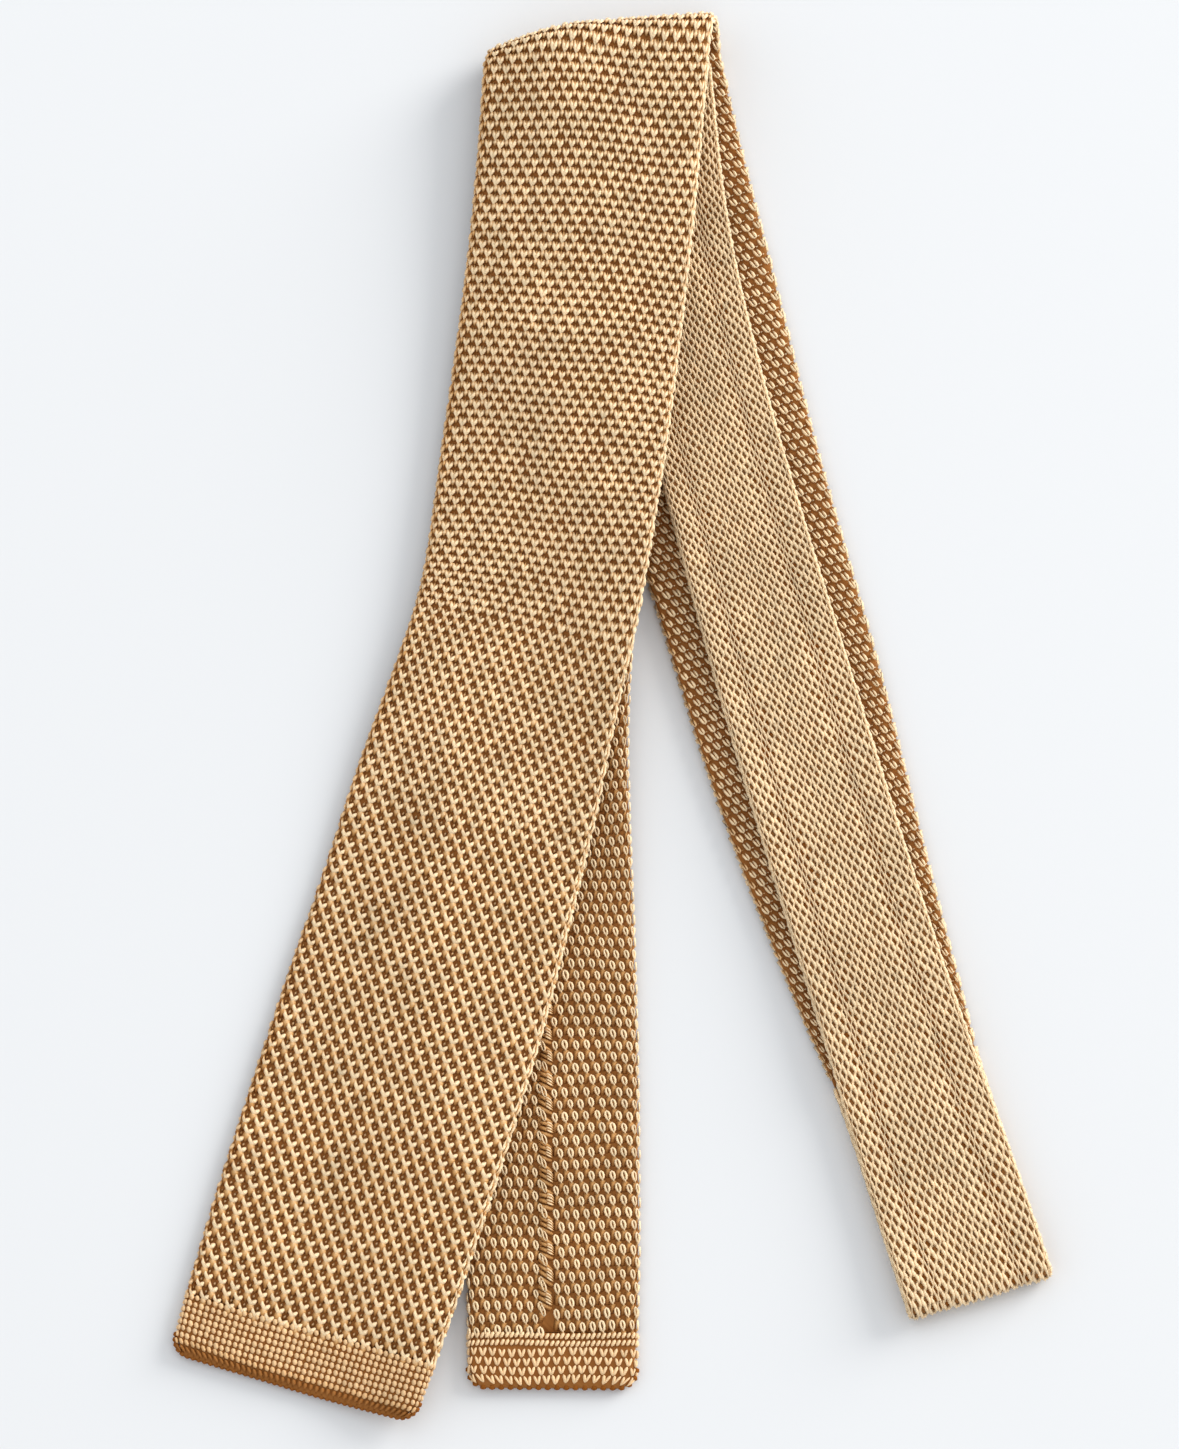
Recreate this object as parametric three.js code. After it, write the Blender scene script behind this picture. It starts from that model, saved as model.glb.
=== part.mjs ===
// Knit tie, folded in four and laid flat.
// One long flattened tube of knit runs from the hem of the wide blade to the hem of the tail.
// The wide blade lies on top, front face up. At the outer top fold the tube turns under itself,
// runs back down on the floor, turns up at the bottom fold, runs up again as the narrow neck band,
// turns over at the inner top fold and comes down as the tail, between neck band and blade.
// Millimetres, +Z up, +Y towards the top folds, the floor at Z = 0.
import * as THREE from "three";

// Lengths of the runs between the folds, along the middle of the tube
const BLADE_LENGTH = 360;
const UNDER_LENGTH = 338;
const TAIL_LENGTH = 349;

// Full widths of the flattened tube
const BLADE_WIDTH = 68;
const NECK_WIDTH = 38.4;
const TAIL_WIDTH = 44.6;

// The two walls of the tube and the thin air space between them
const COARSE_WALL = 1.6;
const FINE_WALL = 1.2;
const SLOT_HEIGHT = 0.4;
const EDGE_WALL = 2.2;

// Hem bands, and the stitched seam down the middle of the tail's back
const BLADE_HEM_HEIGHT = 15.5;
const TAIL_HEM_HEIGHT = 14.6;
const HEM_CORNER = 5;
const HEM_END_THICKNESS = 2;
const SEAM_WIDTH = 3.6;
const SEAM_HEIGHT = 0.8;
const SEAM_OFFSET = -2;

// Clearances between pieces and between the layers of the stack
const JOIN_GAP = 0.3;
const SEAM_GAP = 0.3;
const LAYER_GAP = 0.5;
const FOLD_SETBACK = 4;

// How the knit drapes: it stays level a little past what carries it, then falls over a longer reach
const DRAPE_MARGIN = 3;
const DRAPE_REACH = 38;
const FOLD_EASE = 1;
const EASE_REACH = 30;

// The neck band's front face has a crease near each rolled edge, at a share of its half width
const CREASE_AT = 0.6;
const CREASE_REACH = 0.3;
const CREASE_DEPTH = 0.4;

// Where the coarse knit changes to the fine neck knit, as a share of its run, and how softly
const NECK_START = 0.82;
const NECK_END = 0.2;
const JOIN_BLEND = 14;

// Depths of the sections in a hem's rounded corner, as shares of the corner
const HEM_CORNER_SHARES = [0, 0.07, 0.3, 0.62, 1];

// Outline of the seam's ridge: side is a share of its half width, rise a share of its height
const SEAM_OUTLINE = [
  { side: -1, rise: 0 },
  { side: -0.8, rise: 0.7 },
  { side: -0.35, rise: 1 },
  { side: 0.35, rise: 1 },
  { side: 0.8, rise: 0.7 },
  { side: 1, rise: 0 },
];

// Spacing of the sections along the tube, and of the corners round one section
const DRAPED_STEP = 8;
const LEVEL_STEP = 15;
const FOLD_STEPS = 9;
const SKEW_REACH = 45;
const FLAT_PARTS = { blade: 8, neck: 10, tail: 6 };
const SLOT_PARTS = 4;
const EDGE_ANGLES = [90, 30, -30, -90];
const WALK_STEPS = 240;

const COLOURS = { coarse: 0xc08a4c, fine: 0xc99a5e, hem: 0xb98346, seam: 0xd8ab70 };
const ROUGHNESS = 0.62;

// Each run has a row for each bend or change of width. at is the share of the run from its start,
// in the direction from the blade's hem to the tail's hem. lean is the angle from +Y towards +X
// of the run's upper end, in degrees. width is a share of the named width of that run.
const BLADE_ROWS = [
  { at: 0.0, lean: 17.2, width: 0.955 },
  { at: 0.05, lean: 17.2, width: 0.98 },
  { at: 0.14, lean: 17.2, width: 1.0 },
  { at: 0.29, lean: 16.8, width: 0.99 },
  { at: 0.36, lean: 15.6, width: 0.962 },
  { at: 0.44, lean: 15.2, width: 0.932 },
  { at: 0.51, lean: 15.6, width: 0.88 },
  { at: 0.56, lean: 15.0, width: 0.85 },
  { at: 0.62, lean: 9.0, width: 0.845 },
  { at: 0.7, lean: 7.8, width: 0.853 },
  { at: 0.8, lean: 7.0, width: 0.85 },
  { at: 0.95, lean: 4.2, width: 0.853 },
  { at: 1.0, lean: 4.2, width: 0.86 },
];
const UNDER_ROWS = [
  { at: 0.0, lean: -13.0, width: 0.86 },
  { at: 0.06, lean: -13.0, width: 0.855 },
  { at: 0.2, lean: -14.8, width: 0.84 },
  { at: 0.33, lean: -16.2, width: 0.79 },
  { at: 0.43, lean: -16.0, width: 0.765 },
  { at: 0.52, lean: -15.4, width: 0.752 },
  { at: 0.6, lean: -16.0, width: 0.724 },
  { at: 0.68, lean: -17.2, width: 0.676 },
  { at: 0.765, lean: -18.4, width: 0.615 },
  { at: 0.83, lean: -18.0, width: 0.566 },
  { at: 0.93, lean: -17.2, width: 0.564 },
  { at: 1.0, lean: -17.2, width: 0.564 },
];
const NECK_ROWS = [
  { at: 0.0, lean: -17.6, width: 1.0 },
  { at: 0.07, lean: -17.6, width: 1.0 },
  { at: 0.24, lean: -17.2, width: 0.93 },
  { at: 0.48, lean: -15.8, width: 0.91 },
  { at: 0.67, lean: -14.6, width: 0.86 },
  { at: 0.8, lean: -12.0, width: 0.84 },
  { at: 0.88, lean: -8.0, width: 0.835 },
  { at: 0.95, lean: -5.0, width: 0.835 },
  { at: 1.0, lean: -5.0, width: 0.835 },
];
const TAIL_ROWS = [
  { at: 0.0, lean: 8.2, width: 0.72 },
  { at: 0.08, lean: 8.2, width: 0.72 },
  { at: 0.32, lean: 8.2, width: 0.76 },
  { at: 0.48, lean: 5.0, width: 0.83 },
  { at: 0.58, lean: 0.6, width: 0.91 },
  { at: 0.7, lean: -0.3, width: 0.975 },
  { at: 0.88, lean: 0.0, width: 1.0 },
  { at: 1.0, lean: 0.4, width: 0.97 },
];

const COARSE_THICKNESS = 2 * COARSE_WALL + SLOT_HEIGHT;
const FINE_THICKNESS = 2 * FINE_WALL + SLOT_HEIGHT;
const UP = 1;
const DOWN = -1;

function clamp01(value) {
  return Math.min(1, Math.max(0, value));
}

function smooth(value) {
  const t = clamp01(value);
  return t * t * (3 - 2 * t);
}

// A smooth curve through one column of a table, at a share of the run.
function column(rows, name, share) {
  const last = rows.length - 1;
  let row = 0;
  while (row < last - 1 && share > rows[row + 1].at) row += 1;
  const slope = (a, b) => (rows[b][name] - rows[a][name]) / (rows[b].at - rows[a].at);
  const span = rows[row + 1].at - rows[row].at;
  const t = clamp01((share - rows[row].at) / span);
  const startSlope = row > 0 ? slope(row - 1, row + 1) : 0;
  const endSlope = row + 1 < last ? slope(row, row + 2) : 0;
  const blend = t * t * (3 - 2 * t);
  const value = rows[row][name] * (1 - blend) + rows[row + 1][name] * blend;
  return value + span * t * (1 - t) * (startSlope * (1 - t) - endSlope * t);
}

// Unit vector of a lean: from +Y towards +X.
function leaning(degrees) {
  const angle = THREE.MathUtils.degToRad(degrees);
  return new THREE.Vector2(Math.sin(angle), Math.cos(angle));
}

// Walks the middle line of a run from its start, one unit long, and keeps its places.
function walkUnit(rows, heading) {
  const places = [new THREE.Vector2(0, 0)];
  for (let step = 0; step < WALK_STEPS; step += 1) {
    const lean = column(rows, "lean", (step + 0.5) / WALK_STEPS);
    places.push(places[step].clone().addScaledVector(leaning(lean), heading / WALK_STEPS));
  }
  return places;
}

// A run in plan: the walked line at its real length, put where its start or its end belongs.
function makeRun(rows, namedWidth, heading, length, anchor, anchoredAtEnd) {
  const unit = walkUnit(rows, heading);
  const shift = anchoredAtEnd ? anchor.clone().addScaledVector(unit[WALK_STEPS], -length) : anchor;
  const places = unit.map((place) => place.clone().multiplyScalar(length).add(shift));
  return { rows, namedWidth, heading, length, places };
}

function leanAt(run, local) {
  return column(run.rows, "lean", clamp01(local / run.length));
}

function widthAt(run, local) {
  return run.namedWidth * column(run.rows, "width", clamp01(local / run.length));
}

// Middle of the run at a length from its start. Past either end the line goes straight on.
function placeAt(run, local) {
  const inside = Math.min(run.length, Math.max(0, local));
  const at = (inside / run.length) * WALK_STEPS;
  const step = Math.min(WALK_STEPS - 1, Math.floor(at));
  const place = run.places[step].clone().lerp(run.places[step + 1], at - step);
  return place.addScaledVector(leaning(leanAt(run, inside)), run.heading * (local - inside));
}

// Nearest length along a run, and the distance past the run's edge, of a point in plan.
function nearest(run, point) {
  let best = 0;
  let least = Infinity;
  run.places.forEach((place, step) => {
    const distance = place.distanceToSquared(point);
    if (distance < least) {
      least = distance;
      best = step;
    }
  });
  const local = (best / WALK_STEPS) * run.length;
  const lean = leaning(leanAt(run, local));
  const offset = point.clone().sub(run.places[best]);
  const across = Math.abs(offset.x * lean.y - offset.y * lean.x);
  const isEnd = best === 0 || best === WALK_STEPS;
  const along = isEnd ? 0 : offset.dot(lean) * run.heading;
  return { local: local + along, outside: across - widthAt(run, local) / 2 };
}

// A fold joins the end of one run to the start of the next, on a line square to the mean lean.
function foldBetween(endLean, startLean, facing, middle) {
  return { normal: leaning((endLean + startLean) / 2).multiplyScalar(facing), middle };
}

function lastRow(rows) {
  return rows[rows.length - 1];
}

// Half height of each fold, from the layers that it holds, and the length of its half turn
const SEAM_RISE = SEAM_GAP + SEAM_HEIGHT;
const NECK_FOLD_RADIUS = (FINE_THICKNESS + LAYER_GAP + FOLD_EASE) / 2;
const OUTER_STACK = COARSE_THICKNESS + 2 * FINE_THICKNESS + 3 * LAYER_GAP;
const OUTER_RADIUS = (OUTER_STACK + FOLD_EASE + SEAM_RISE) / 2;
const foldMiddle = new THREE.Vector2(0, 0);
const outerFold = foldBetween(lastRow(BLADE_ROWS).lean, UNDER_ROWS[0].lean, UP, foldMiddle);
outerFold.length = Math.PI * OUTER_RADIUS;

// Where the middle line comes out of a fold: it drifts along the fold line on its way round.
function afterFold(fold, lean, heading) {
  const direction = leaning(lean).multiplyScalar(heading);
  const travel = fold.length / direction.dot(fold.normal);
  const place = fold.middle.clone().addScaledVector(direction, travel);
  return { place: place.addScaledVector(fold.normal, -fold.length), travel };
}

const blade = makeRun(BLADE_ROWS, BLADE_WIDTH, UP, BLADE_LENGTH, outerFold.middle, true);
const outerExit = afterFold(outerFold, lastRow(BLADE_ROWS).lean, UP);
const under = makeRun(UNDER_ROWS, BLADE_WIDTH, DOWN, UNDER_LENGTH, outerExit.place, false);

const bottomMiddle = placeAt(under, UNDER_LENGTH);
const bottomFold = foldBetween(lastRow(UNDER_ROWS).lean, NECK_ROWS[0].lean, DOWN, bottomMiddle);
bottomFold.length = Math.PI * NECK_FOLD_RADIUS;
const bottomExit = afterFold(bottomFold, lastRow(UNDER_ROWS).lean, DOWN);

// The neck band is as long as it takes to end a set distance inside the outer fold.
const unitNeck = walkUnit(NECK_ROWS, UP)[WALK_STEPS];
const neckClimb = outerFold.middle.clone().sub(bottomExit.place).dot(outerFold.normal) - FOLD_SETBACK;
const NECK_LENGTH = neckClimb / unitNeck.dot(outerFold.normal);
const neck = makeRun(NECK_ROWS, NECK_WIDTH, UP, NECK_LENGTH, bottomExit.place, false);
const innerMiddle = placeAt(neck, NECK_LENGTH);
const innerFold = foldBetween(lastRow(NECK_ROWS).lean, TAIL_ROWS[0].lean, UP, innerMiddle);
innerFold.length = Math.PI * NECK_FOLD_RADIUS;
const innerExit = afterFold(innerFold, lastRow(NECK_ROWS).lean, UP);
const tail = makeRun(TAIL_ROWS, TAIL_WIDTH, DOWN, TAIL_LENGTH, innerExit.place, false);

// Lengths along the whole tube at which each run starts
const UNDER_START = BLADE_LENGTH + outerExit.travel;
const NECK_RUN_START = UNDER_START + UNDER_LENGTH + bottomExit.travel;
const TAIL_START = NECK_RUN_START + NECK_LENGTH + innerExit.travel;
const TIE_LENGTH = TAIL_START + TAIL_LENGTH;
const FINE_FROM = UNDER_START + NECK_START * UNDER_LENGTH;
const FINE_TO = TAIL_START + NECK_END * TAIL_LENGTH;

// A run knows the folds at its ends, its start along the tube, and which way its front face looks.
Object.assign(blade, { start: 0, front: UP, endFold: outerFold });
Object.assign(under, { start: UNDER_START, front: DOWN, startFold: outerFold, endFold: bottomFold });
Object.assign(neck, { start: NECK_RUN_START, front: UP, startFold: bottomFold, endFold: innerFold });
Object.assign(tail, { start: TAIL_START, front: DOWN, startFold: innerFold });
const RUNS = [blade, under, neck, tail];

// Thickness of the flattened tube: thinner where the fine neck knit is.
function thicknessAt(length) {
  const into = smooth((length - FINE_FROM) / JOIN_BLEND + 0.5);
  const outOf = smooth((length - FINE_TO) / JOIN_BLEND + 0.5);
  return COARSE_THICKNESS + (FINE_THICKNESS - COARSE_THICKNESS) * (into - outOf);
}

// Height that a run gives to whatever lies over it, at a point in plan.
function carried(run, point, extra) {
  const { local, outside } = nearest(run, point);
  const share = 1 - smooth((outside - DRAPE_MARGIN) / DRAPE_REACH);
  return share * (thicknessAt(run.start + local) + LAYER_GAP + extra);
}

// The knit keeps a little spring next to a tight fold.
function ease(fold, point) {
  const inside = fold.middle.clone().sub(point).dot(fold.normal);
  return FOLD_EASE * (1 - smooth(inside / EASE_REACH));
}

// Height of the underside of a run above the floor, at a point in plan.
function underside(run, point) {
  if (run === under) return 0;
  if (run === neck) return carried(under, point, 0) + ease(bottomFold, point);
  const draped = carried(under, point, 0) + carried(neck, point, ease(innerFold, point));
  if (run === tail) return draped;
  return draped + carried(tail, point, SEAM_RISE);
}

// The run that a length along the tube belongs to: runs change in the middle of a fold.
function runAt(length) {
  const turn = (before, after) => (before.start + before.length + after.start) / 2;
  if (length < turn(blade, under)) return blade;
  if (length < turn(under, neck)) return under;
  return length < turn(neck, tail) ? neck : tail;
}

// Turns a point round a fold. turned is its distance past the fold line along the cloth.
function roundFold(fold, point, turned, along, outward, lift) {
  const foot = point.clone().addScaledVector(fold.normal, -along);
  const [lower, upper] = fold.layers;
  const low = underside(lower, foot) + lift;
  const high = underside(upper, foot) + lift;
  const radius = (high - low) / 2 + outward * fold.frontOutside;
  const angle = (Math.PI * turned) / fold.length;
  const rise = fold.startsHigh ? Math.cos(angle) : -Math.cos(angle);
  foot.addScaledVector(fold.normal, radius * Math.sin(angle));
  return new THREE.Vector3(foot.x, foot.y, (high + low) / 2 + radius * rise);
}
Object.assign(outerFold, { layers: [under, blade], startsHigh: true, frontOutside: 1 });
Object.assign(bottomFold, { layers: [under, neck], startsHigh: false, frontOutside: 1 });
Object.assign(innerFold, { layers: [neck, tail], startsHigh: false, frontOutside: -1 });

// The shape of the tie: from a length along the tube, an offset across it and a height out of the
// tube's middle plane towards its front face, to a point in space.
function formPoint(length, across, out) {
  const run = runAt(length);
  const local = length - run.start;
  const lean = leaning(leanAt(run, local));
  const point = placeAt(run, local);
  point.x += across * lean.y;
  point.y -= across * lean.x;
  const lift = thicknessAt(length) / 2;
  const { startFold, endFold } = run;
  const beyondEnd = endFold ? point.clone().sub(endFold.middle).dot(endFold.normal) : -1;
  if (beyondEnd > 0) return roundFold(endFold, point, beyondEnd, beyondEnd, out, lift);
  const beforeStart = startFold ? point.clone().sub(startFold.middle).dot(startFold.normal) : -1;
  if (beforeStart > 0) {
    return roundFold(startFold, point, startFold.length - beforeStart, beforeStart, out, lift);
  }
  return new THREE.Vector3(point.x, point.y, underside(run, point) + lift + out * run.front);
}

// Sections next to a fold are slanted to lie along the fold line.
function skewAt(length) {
  let skew = 0;
  for (const run of RUNS) {
    const fold = run.endFold;
    if (!fold) continue;
    const lean = leaning(lastRow(run.rows).lean);
    const direction = lean.clone().multiplyScalar(run.heading);
    const sideways = new THREE.Vector2(lean.y, -lean.x);
    const slant = -sideways.dot(fold.normal) / direction.dot(fold.normal);
    const middle = run.start + run.length + fold.length / 2;
    const distance = Math.abs(length - middle) - fold.length;
    skew += slant * (1 - smooth(distance / SKEW_REACH));
  }
  return skew;
}

// How far the front face dips at a share of the half width, on a piece with creases.
function creaseDip(share, depth) {
  return depth * (1 - smooth(Math.abs(Math.abs(share) - CREASE_AT) / CREASE_REACH));
}

// One section of the flattened tube: its outer outline and, inside, its thin slot.
function section(length, flatParts, width, thickness, creaseDepth) {
  const radius = thickness / 2;
  const flat = width / 2 - radius;
  const bulge = Math.cos(THREE.MathUtils.degToRad(EDGE_ANGLES[1]));
  const outer = [];
  for (const side of [1, -1]) {
    for (const degrees of EDGE_ANGLES) {
      const angle = THREE.MathUtils.degToRad(degrees);
      const reach = (radius * Math.cos(angle)) / bulge;
      outer.push([side * (flat + reach), side * radius * Math.sin(angle)]);
    }
    for (let part = 1; part < flatParts; part += 1) {
      const share = 1 - (2 * part) / flatParts;
      const dip = side < 0 ? creaseDip(share, creaseDepth) : 0;
      outer.push([side * share * flat, -side * radius - dip]);
    }
  }
  const halfSlot = width / 2 - EDGE_WALL;
  const inner = [];
  for (const side of [1, -1]) {
    for (let part = 0; part <= SLOT_PARTS; part += 1) {
      const share = 1 - (2 * part) / SLOT_PARTS;
      inner.push([side * share * halfSlot, (-side * SLOT_HEIGHT) / 2]);
    }
  }
  return { length, outer: outer.reverse(), inner: inner.reverse() };
}

// Collects the corners and triangles of one closed piece.
class Shell {
  constructor() {
    this.positions = [];
    this.triangles = [];
  }

  ring(length, outline) {
    const skew = skewAt(length);
    const first = this.positions.length / 3;
    for (const [across, out] of outline) {
      this.positions.push(...formPoint(length + skew * across, across, out).toArray());
    }
    return { first, outline };
  }

  // Joins two rings with the same corners by a band of triangles.
  band(near, far, facesOut) {
    const count = near.outline.length;
    for (let corner = 0; corner < count; corner += 1) {
      const next = (corner + 1) % count;
      const quad = [near.first + corner, far.first + corner, far.first + next, near.first + next];
      const [a, b, c, d] = facesOut ? quad : quad.reverse();
      this.triangles.push([a, b, c], [a, c, d]);
    }
  }

  // Closes a ring, or the space between a ring and a smaller ring inside it.
  cap(ring, hole, towardsEnd) {
    const toPoints = (outline) => outline.map(([x, y]) => new THREE.Vector2(x, y));
    const points = toPoints(ring.outline);
    const holes = hole ? [toPoints(hole.outline)] : [];
    const all = points.concat(...holes);
    const index = (corner) => {
      return corner < points.length ? ring.first + corner : hole.first + corner - points.length;
    };
    for (const [a, b, c] of THREE.ShapeUtils.triangulateShape(points, holes)) {
      const turn = all[b].clone().sub(all[a]).cross(all[c].clone().sub(all[a]));
      const facesStart = turn > 0;
      const triangle = [index(a), index(b), index(c)];
      this.triangles.push(facesStart === towardsEnd ? triangle.reverse() : triangle);
    }
  }

  geometry() {
    const geometry = new THREE.BufferGeometry();
    geometry.setAttribute("position", new THREE.Float32BufferAttribute(this.positions, 3));
    geometry.setIndex(this.triangles.flat());
    geometry.computeVertexNormals();
    return geometry;
  }
}

// A length of flattened tube. A pocket depth closes that end and starts the slot further in.
function tube(sections, startPocket, endPocket) {
  const shell = new Shell();
  const outer = sections.map(({ length, outer: outline }) => shell.ring(length, outline));
  const from = sections[0].length + startPocket;
  const to = sections[sections.length - 1].length - endPocket;
  const hollow = sections.filter(({ length }) => length >= from && length <= to);
  const inner = hollow.map(({ length, inner: outline }) => shell.ring(length, outline));
  for (let i = 1; i < outer.length; i += 1) shell.band(outer[i - 1], outer[i], true);
  for (let i = 1; i < inner.length; i += 1) shell.band(inner[i - 1], inner[i], false);
  if (startPocket > 0) {
    shell.cap(outer[0], null, false);
    shell.cap(inner[0], null, true);
  } else {
    shell.cap(outer[0], inner[0], false);
  }
  if (endPocket > 0) {
    shell.cap(outer[outer.length - 1], null, true);
    shell.cap(inner[inner.length - 1], null, false);
  } else {
    shell.cap(outer[outer.length - 1], inner[inner.length - 1], true);
  }
  return shell.geometry();
}

// Lengths of the sections between two lengths, closer together round a fold.
function sectionLengths(from, to) {
  const lengths = [from];
  const add = (start, end, step) => {
    const first = Math.max(start, from);
    const last = Math.min(end, to);
    if (last <= first) return;
    const parts = Math.max(1, Math.round((last - first) / step));
    for (let part = 1; part <= parts; part += 1) {
      lengths.push(first + ((last - first) * part) / parts);
    }
  };
  for (const run of RUNS) {
    const step = run === blade || run === tail ? DRAPED_STEP : LEVEL_STEP;
    add(run.start, run.start + run.length, step);
    const fold = run.endFold;
    if (fold) {
      const next = RUNS[RUNS.indexOf(run) + 1];
      add(run.start + run.length, next.start, fold.length / FOLD_STEPS);
    }
  }
  return lengths;
}

function tubeSections(from, to, flatParts, creaseDepth) {
  return sectionLengths(from, to).map((length) => {
    const run = runAt(length);
    const width = widthAt(run, length - run.start);
    return section(length, flatParts, width, thicknessAt(length), creaseDepth);
  });
}

// A hem band: corners rounded in plan and a thinner closed end.
function hemSections(from, to, freeEnd, flatParts) {
  const sign = freeEnd < (from + to) / 2 ? 1 : -1;
  const depths = HEM_CORNER_SHARES.map((share) => share * HEM_CORNER);
  const height = to - from;
  depths.push((HEM_CORNER + height) / 2, height);
  const sections = depths.map((depth) => {
    const length = freeEnd + sign * depth;
    const run = runAt(length);
    const inCorner = Math.max(0, HEM_CORNER - depth);
    const trim = HEM_CORNER - Math.sqrt(HEM_CORNER ** 2 - inCorner ** 2);
    const width = widthAt(run, length - run.start) - 2 * trim;
    const body = thicknessAt(length);
    const thickness = body - (body - HEM_END_THICKNESS) * (trim / HEM_CORNER);
    return section(length, flatParts, width, thickness, 0);
  });
  return sign > 0 ? sections : sections.reverse();
}

// The seam: a low rounded ridge that lies on the back of the tail.
function seamGeometry(from, to) {
  const shell = new Shell();
  const rings = sectionLengths(from, to).map((length) => {
    const back = thicknessAt(length) / 2 + SEAM_GAP;
    const outline = SEAM_OUTLINE.map(({ side, rise }) => {
      return [SEAM_OFFSET + (side * SEAM_WIDTH) / 2, -(back + rise * SEAM_HEIGHT)];
    });
    return shell.ring(length, outline);
  });
  for (let i = 1; i < rings.length; i += 1) shell.band(rings[i - 1], rings[i], true);
  shell.cap(rings[0], null, false);
  shell.cap(rings[rings.length - 1], null, true);
  return shell.geometry();
}

const tie = new THREE.Group();

function addPiece(name, geometry, colour) {
  const material = new THREE.MeshStandardMaterial({ color: colour, roughness: ROUGHNESS, metalness: 0 });
  const piece = new THREE.Mesh(geometry, material);
  piece.name = name;
  tie.add(piece);
}

const bladeHemTop = BLADE_HEM_HEIGHT;
const tailHemTop = TIE_LENGTH - TAIL_HEM_HEIGHT;
const bladeHem = hemSections(0, bladeHemTop, 0, FLAT_PARTS.blade);
const bladeBody = tubeSections(bladeHemTop + JOIN_GAP, FINE_FROM, FLAT_PARTS.blade, 0);
const neckBody = tubeSections(FINE_FROM + JOIN_GAP, FINE_TO, FLAT_PARTS.neck, CREASE_DEPTH);
const tailBody = tubeSections(FINE_TO + JOIN_GAP, tailHemTop, FLAT_PARTS.tail, 0);
const tailHem = hemSections(tailHemTop + JOIN_GAP, TIE_LENGTH, TIE_LENGTH, FLAT_PARTS.tail);

addPiece("blade_hem", tube(bladeHem, EDGE_WALL, 0), COLOURS.hem);
addPiece("wide_blade", tube(bladeBody, 0, 0), COLOURS.coarse);
addPiece("neck_band", tube(neckBody, 0, 0), COLOURS.fine);
addPiece("tail_blade", tube(tailBody, 0, 0), COLOURS.coarse);
addPiece("tail_hem", tube(tailHem, 0, EDGE_WALL), COLOURS.hem);
addPiece("tail_seam", seamGeometry(FINE_TO + JOIN_BLEND, tailHemTop), COLOURS.seam);

// The origin is the middle of the tie's box in plan, on the floor.
const box = new THREE.Box3().setFromObject(tie);
tie.position.set(-(box.min.x + box.max.x) / 2, -(box.min.y + box.max.y) / 2, -box.min.z);

export default tie;
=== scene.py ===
import math

import bpy
import numpy as np
from bpy.props import FloatProperty, FloatVectorProperty, IntProperty, PointerProperty
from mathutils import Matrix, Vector


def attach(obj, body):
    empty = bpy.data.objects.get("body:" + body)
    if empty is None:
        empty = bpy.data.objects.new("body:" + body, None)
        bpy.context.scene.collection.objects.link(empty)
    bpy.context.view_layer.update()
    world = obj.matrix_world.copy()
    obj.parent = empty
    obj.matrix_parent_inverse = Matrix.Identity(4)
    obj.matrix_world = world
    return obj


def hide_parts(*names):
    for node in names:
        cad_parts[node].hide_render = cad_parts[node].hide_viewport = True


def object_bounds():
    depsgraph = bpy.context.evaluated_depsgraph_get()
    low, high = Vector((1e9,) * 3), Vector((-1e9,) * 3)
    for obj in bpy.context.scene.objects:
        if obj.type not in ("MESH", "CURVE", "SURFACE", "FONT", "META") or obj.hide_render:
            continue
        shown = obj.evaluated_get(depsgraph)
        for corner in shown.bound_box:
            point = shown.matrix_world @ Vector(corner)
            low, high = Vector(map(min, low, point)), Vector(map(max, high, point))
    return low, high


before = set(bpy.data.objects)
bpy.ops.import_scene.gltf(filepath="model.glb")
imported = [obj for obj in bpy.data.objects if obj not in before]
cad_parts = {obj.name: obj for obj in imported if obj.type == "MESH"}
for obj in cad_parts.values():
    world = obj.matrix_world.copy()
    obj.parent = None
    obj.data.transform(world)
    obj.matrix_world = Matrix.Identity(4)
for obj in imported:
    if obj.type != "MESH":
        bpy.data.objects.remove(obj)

# A knit tie, folded in four and laid flat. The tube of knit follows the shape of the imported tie:
# a place on it is a length along the tube, an offset across it and a height out of its middle.
# Metres, +Z up, +Y towards the top folds, the floor at Z = 0.

bl_info = {
    "name": "Knit tie",
    "version": (1, 0, 0),
    "blender": (4, 5, 0),
    "location": "3D View > Sidebar > Knit tie",
    "description": "Models a knit tie, folded in four, with every stitch of its yarn",
    "category": "Add Mesh",
}

CAD_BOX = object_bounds()
MM = 0.001

# Each run of the tube has a row for each bend or change of width: share of the run from its
# start, lean of its upper end from +Y towards +X in degrees, width as a share of its named width.
BLADE_ROWS = (
    (0.0, 17.2, 0.955),
    (0.05, 17.2, 0.98),
    (0.14, 17.2, 1.0),
    (0.29, 16.8, 0.99),
    (0.36, 15.6, 0.962),
    (0.44, 15.2, 0.932),
    (0.51, 15.6, 0.88),
    (0.56, 15.0, 0.85),
    (0.62, 9.0, 0.845),
    (0.7, 7.8, 0.853),
    (0.8, 7.0, 0.85),
    (0.95, 4.2, 0.853),
    (1.0, 4.2, 0.86),
)
UNDER_ROWS = (
    (0.0, -13.0, 0.86),
    (0.06, -13.0, 0.855),
    (0.2, -14.8, 0.84),
    (0.33, -16.2, 0.79),
    (0.43, -16.0, 0.765),
    (0.52, -15.4, 0.752),
    (0.6, -16.0, 0.724),
    (0.68, -17.2, 0.676),
    (0.765, -18.4, 0.615),
    (0.83, -18.0, 0.566),
    (0.93, -17.2, 0.564),
    (1.0, -17.2, 0.564),
)
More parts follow.
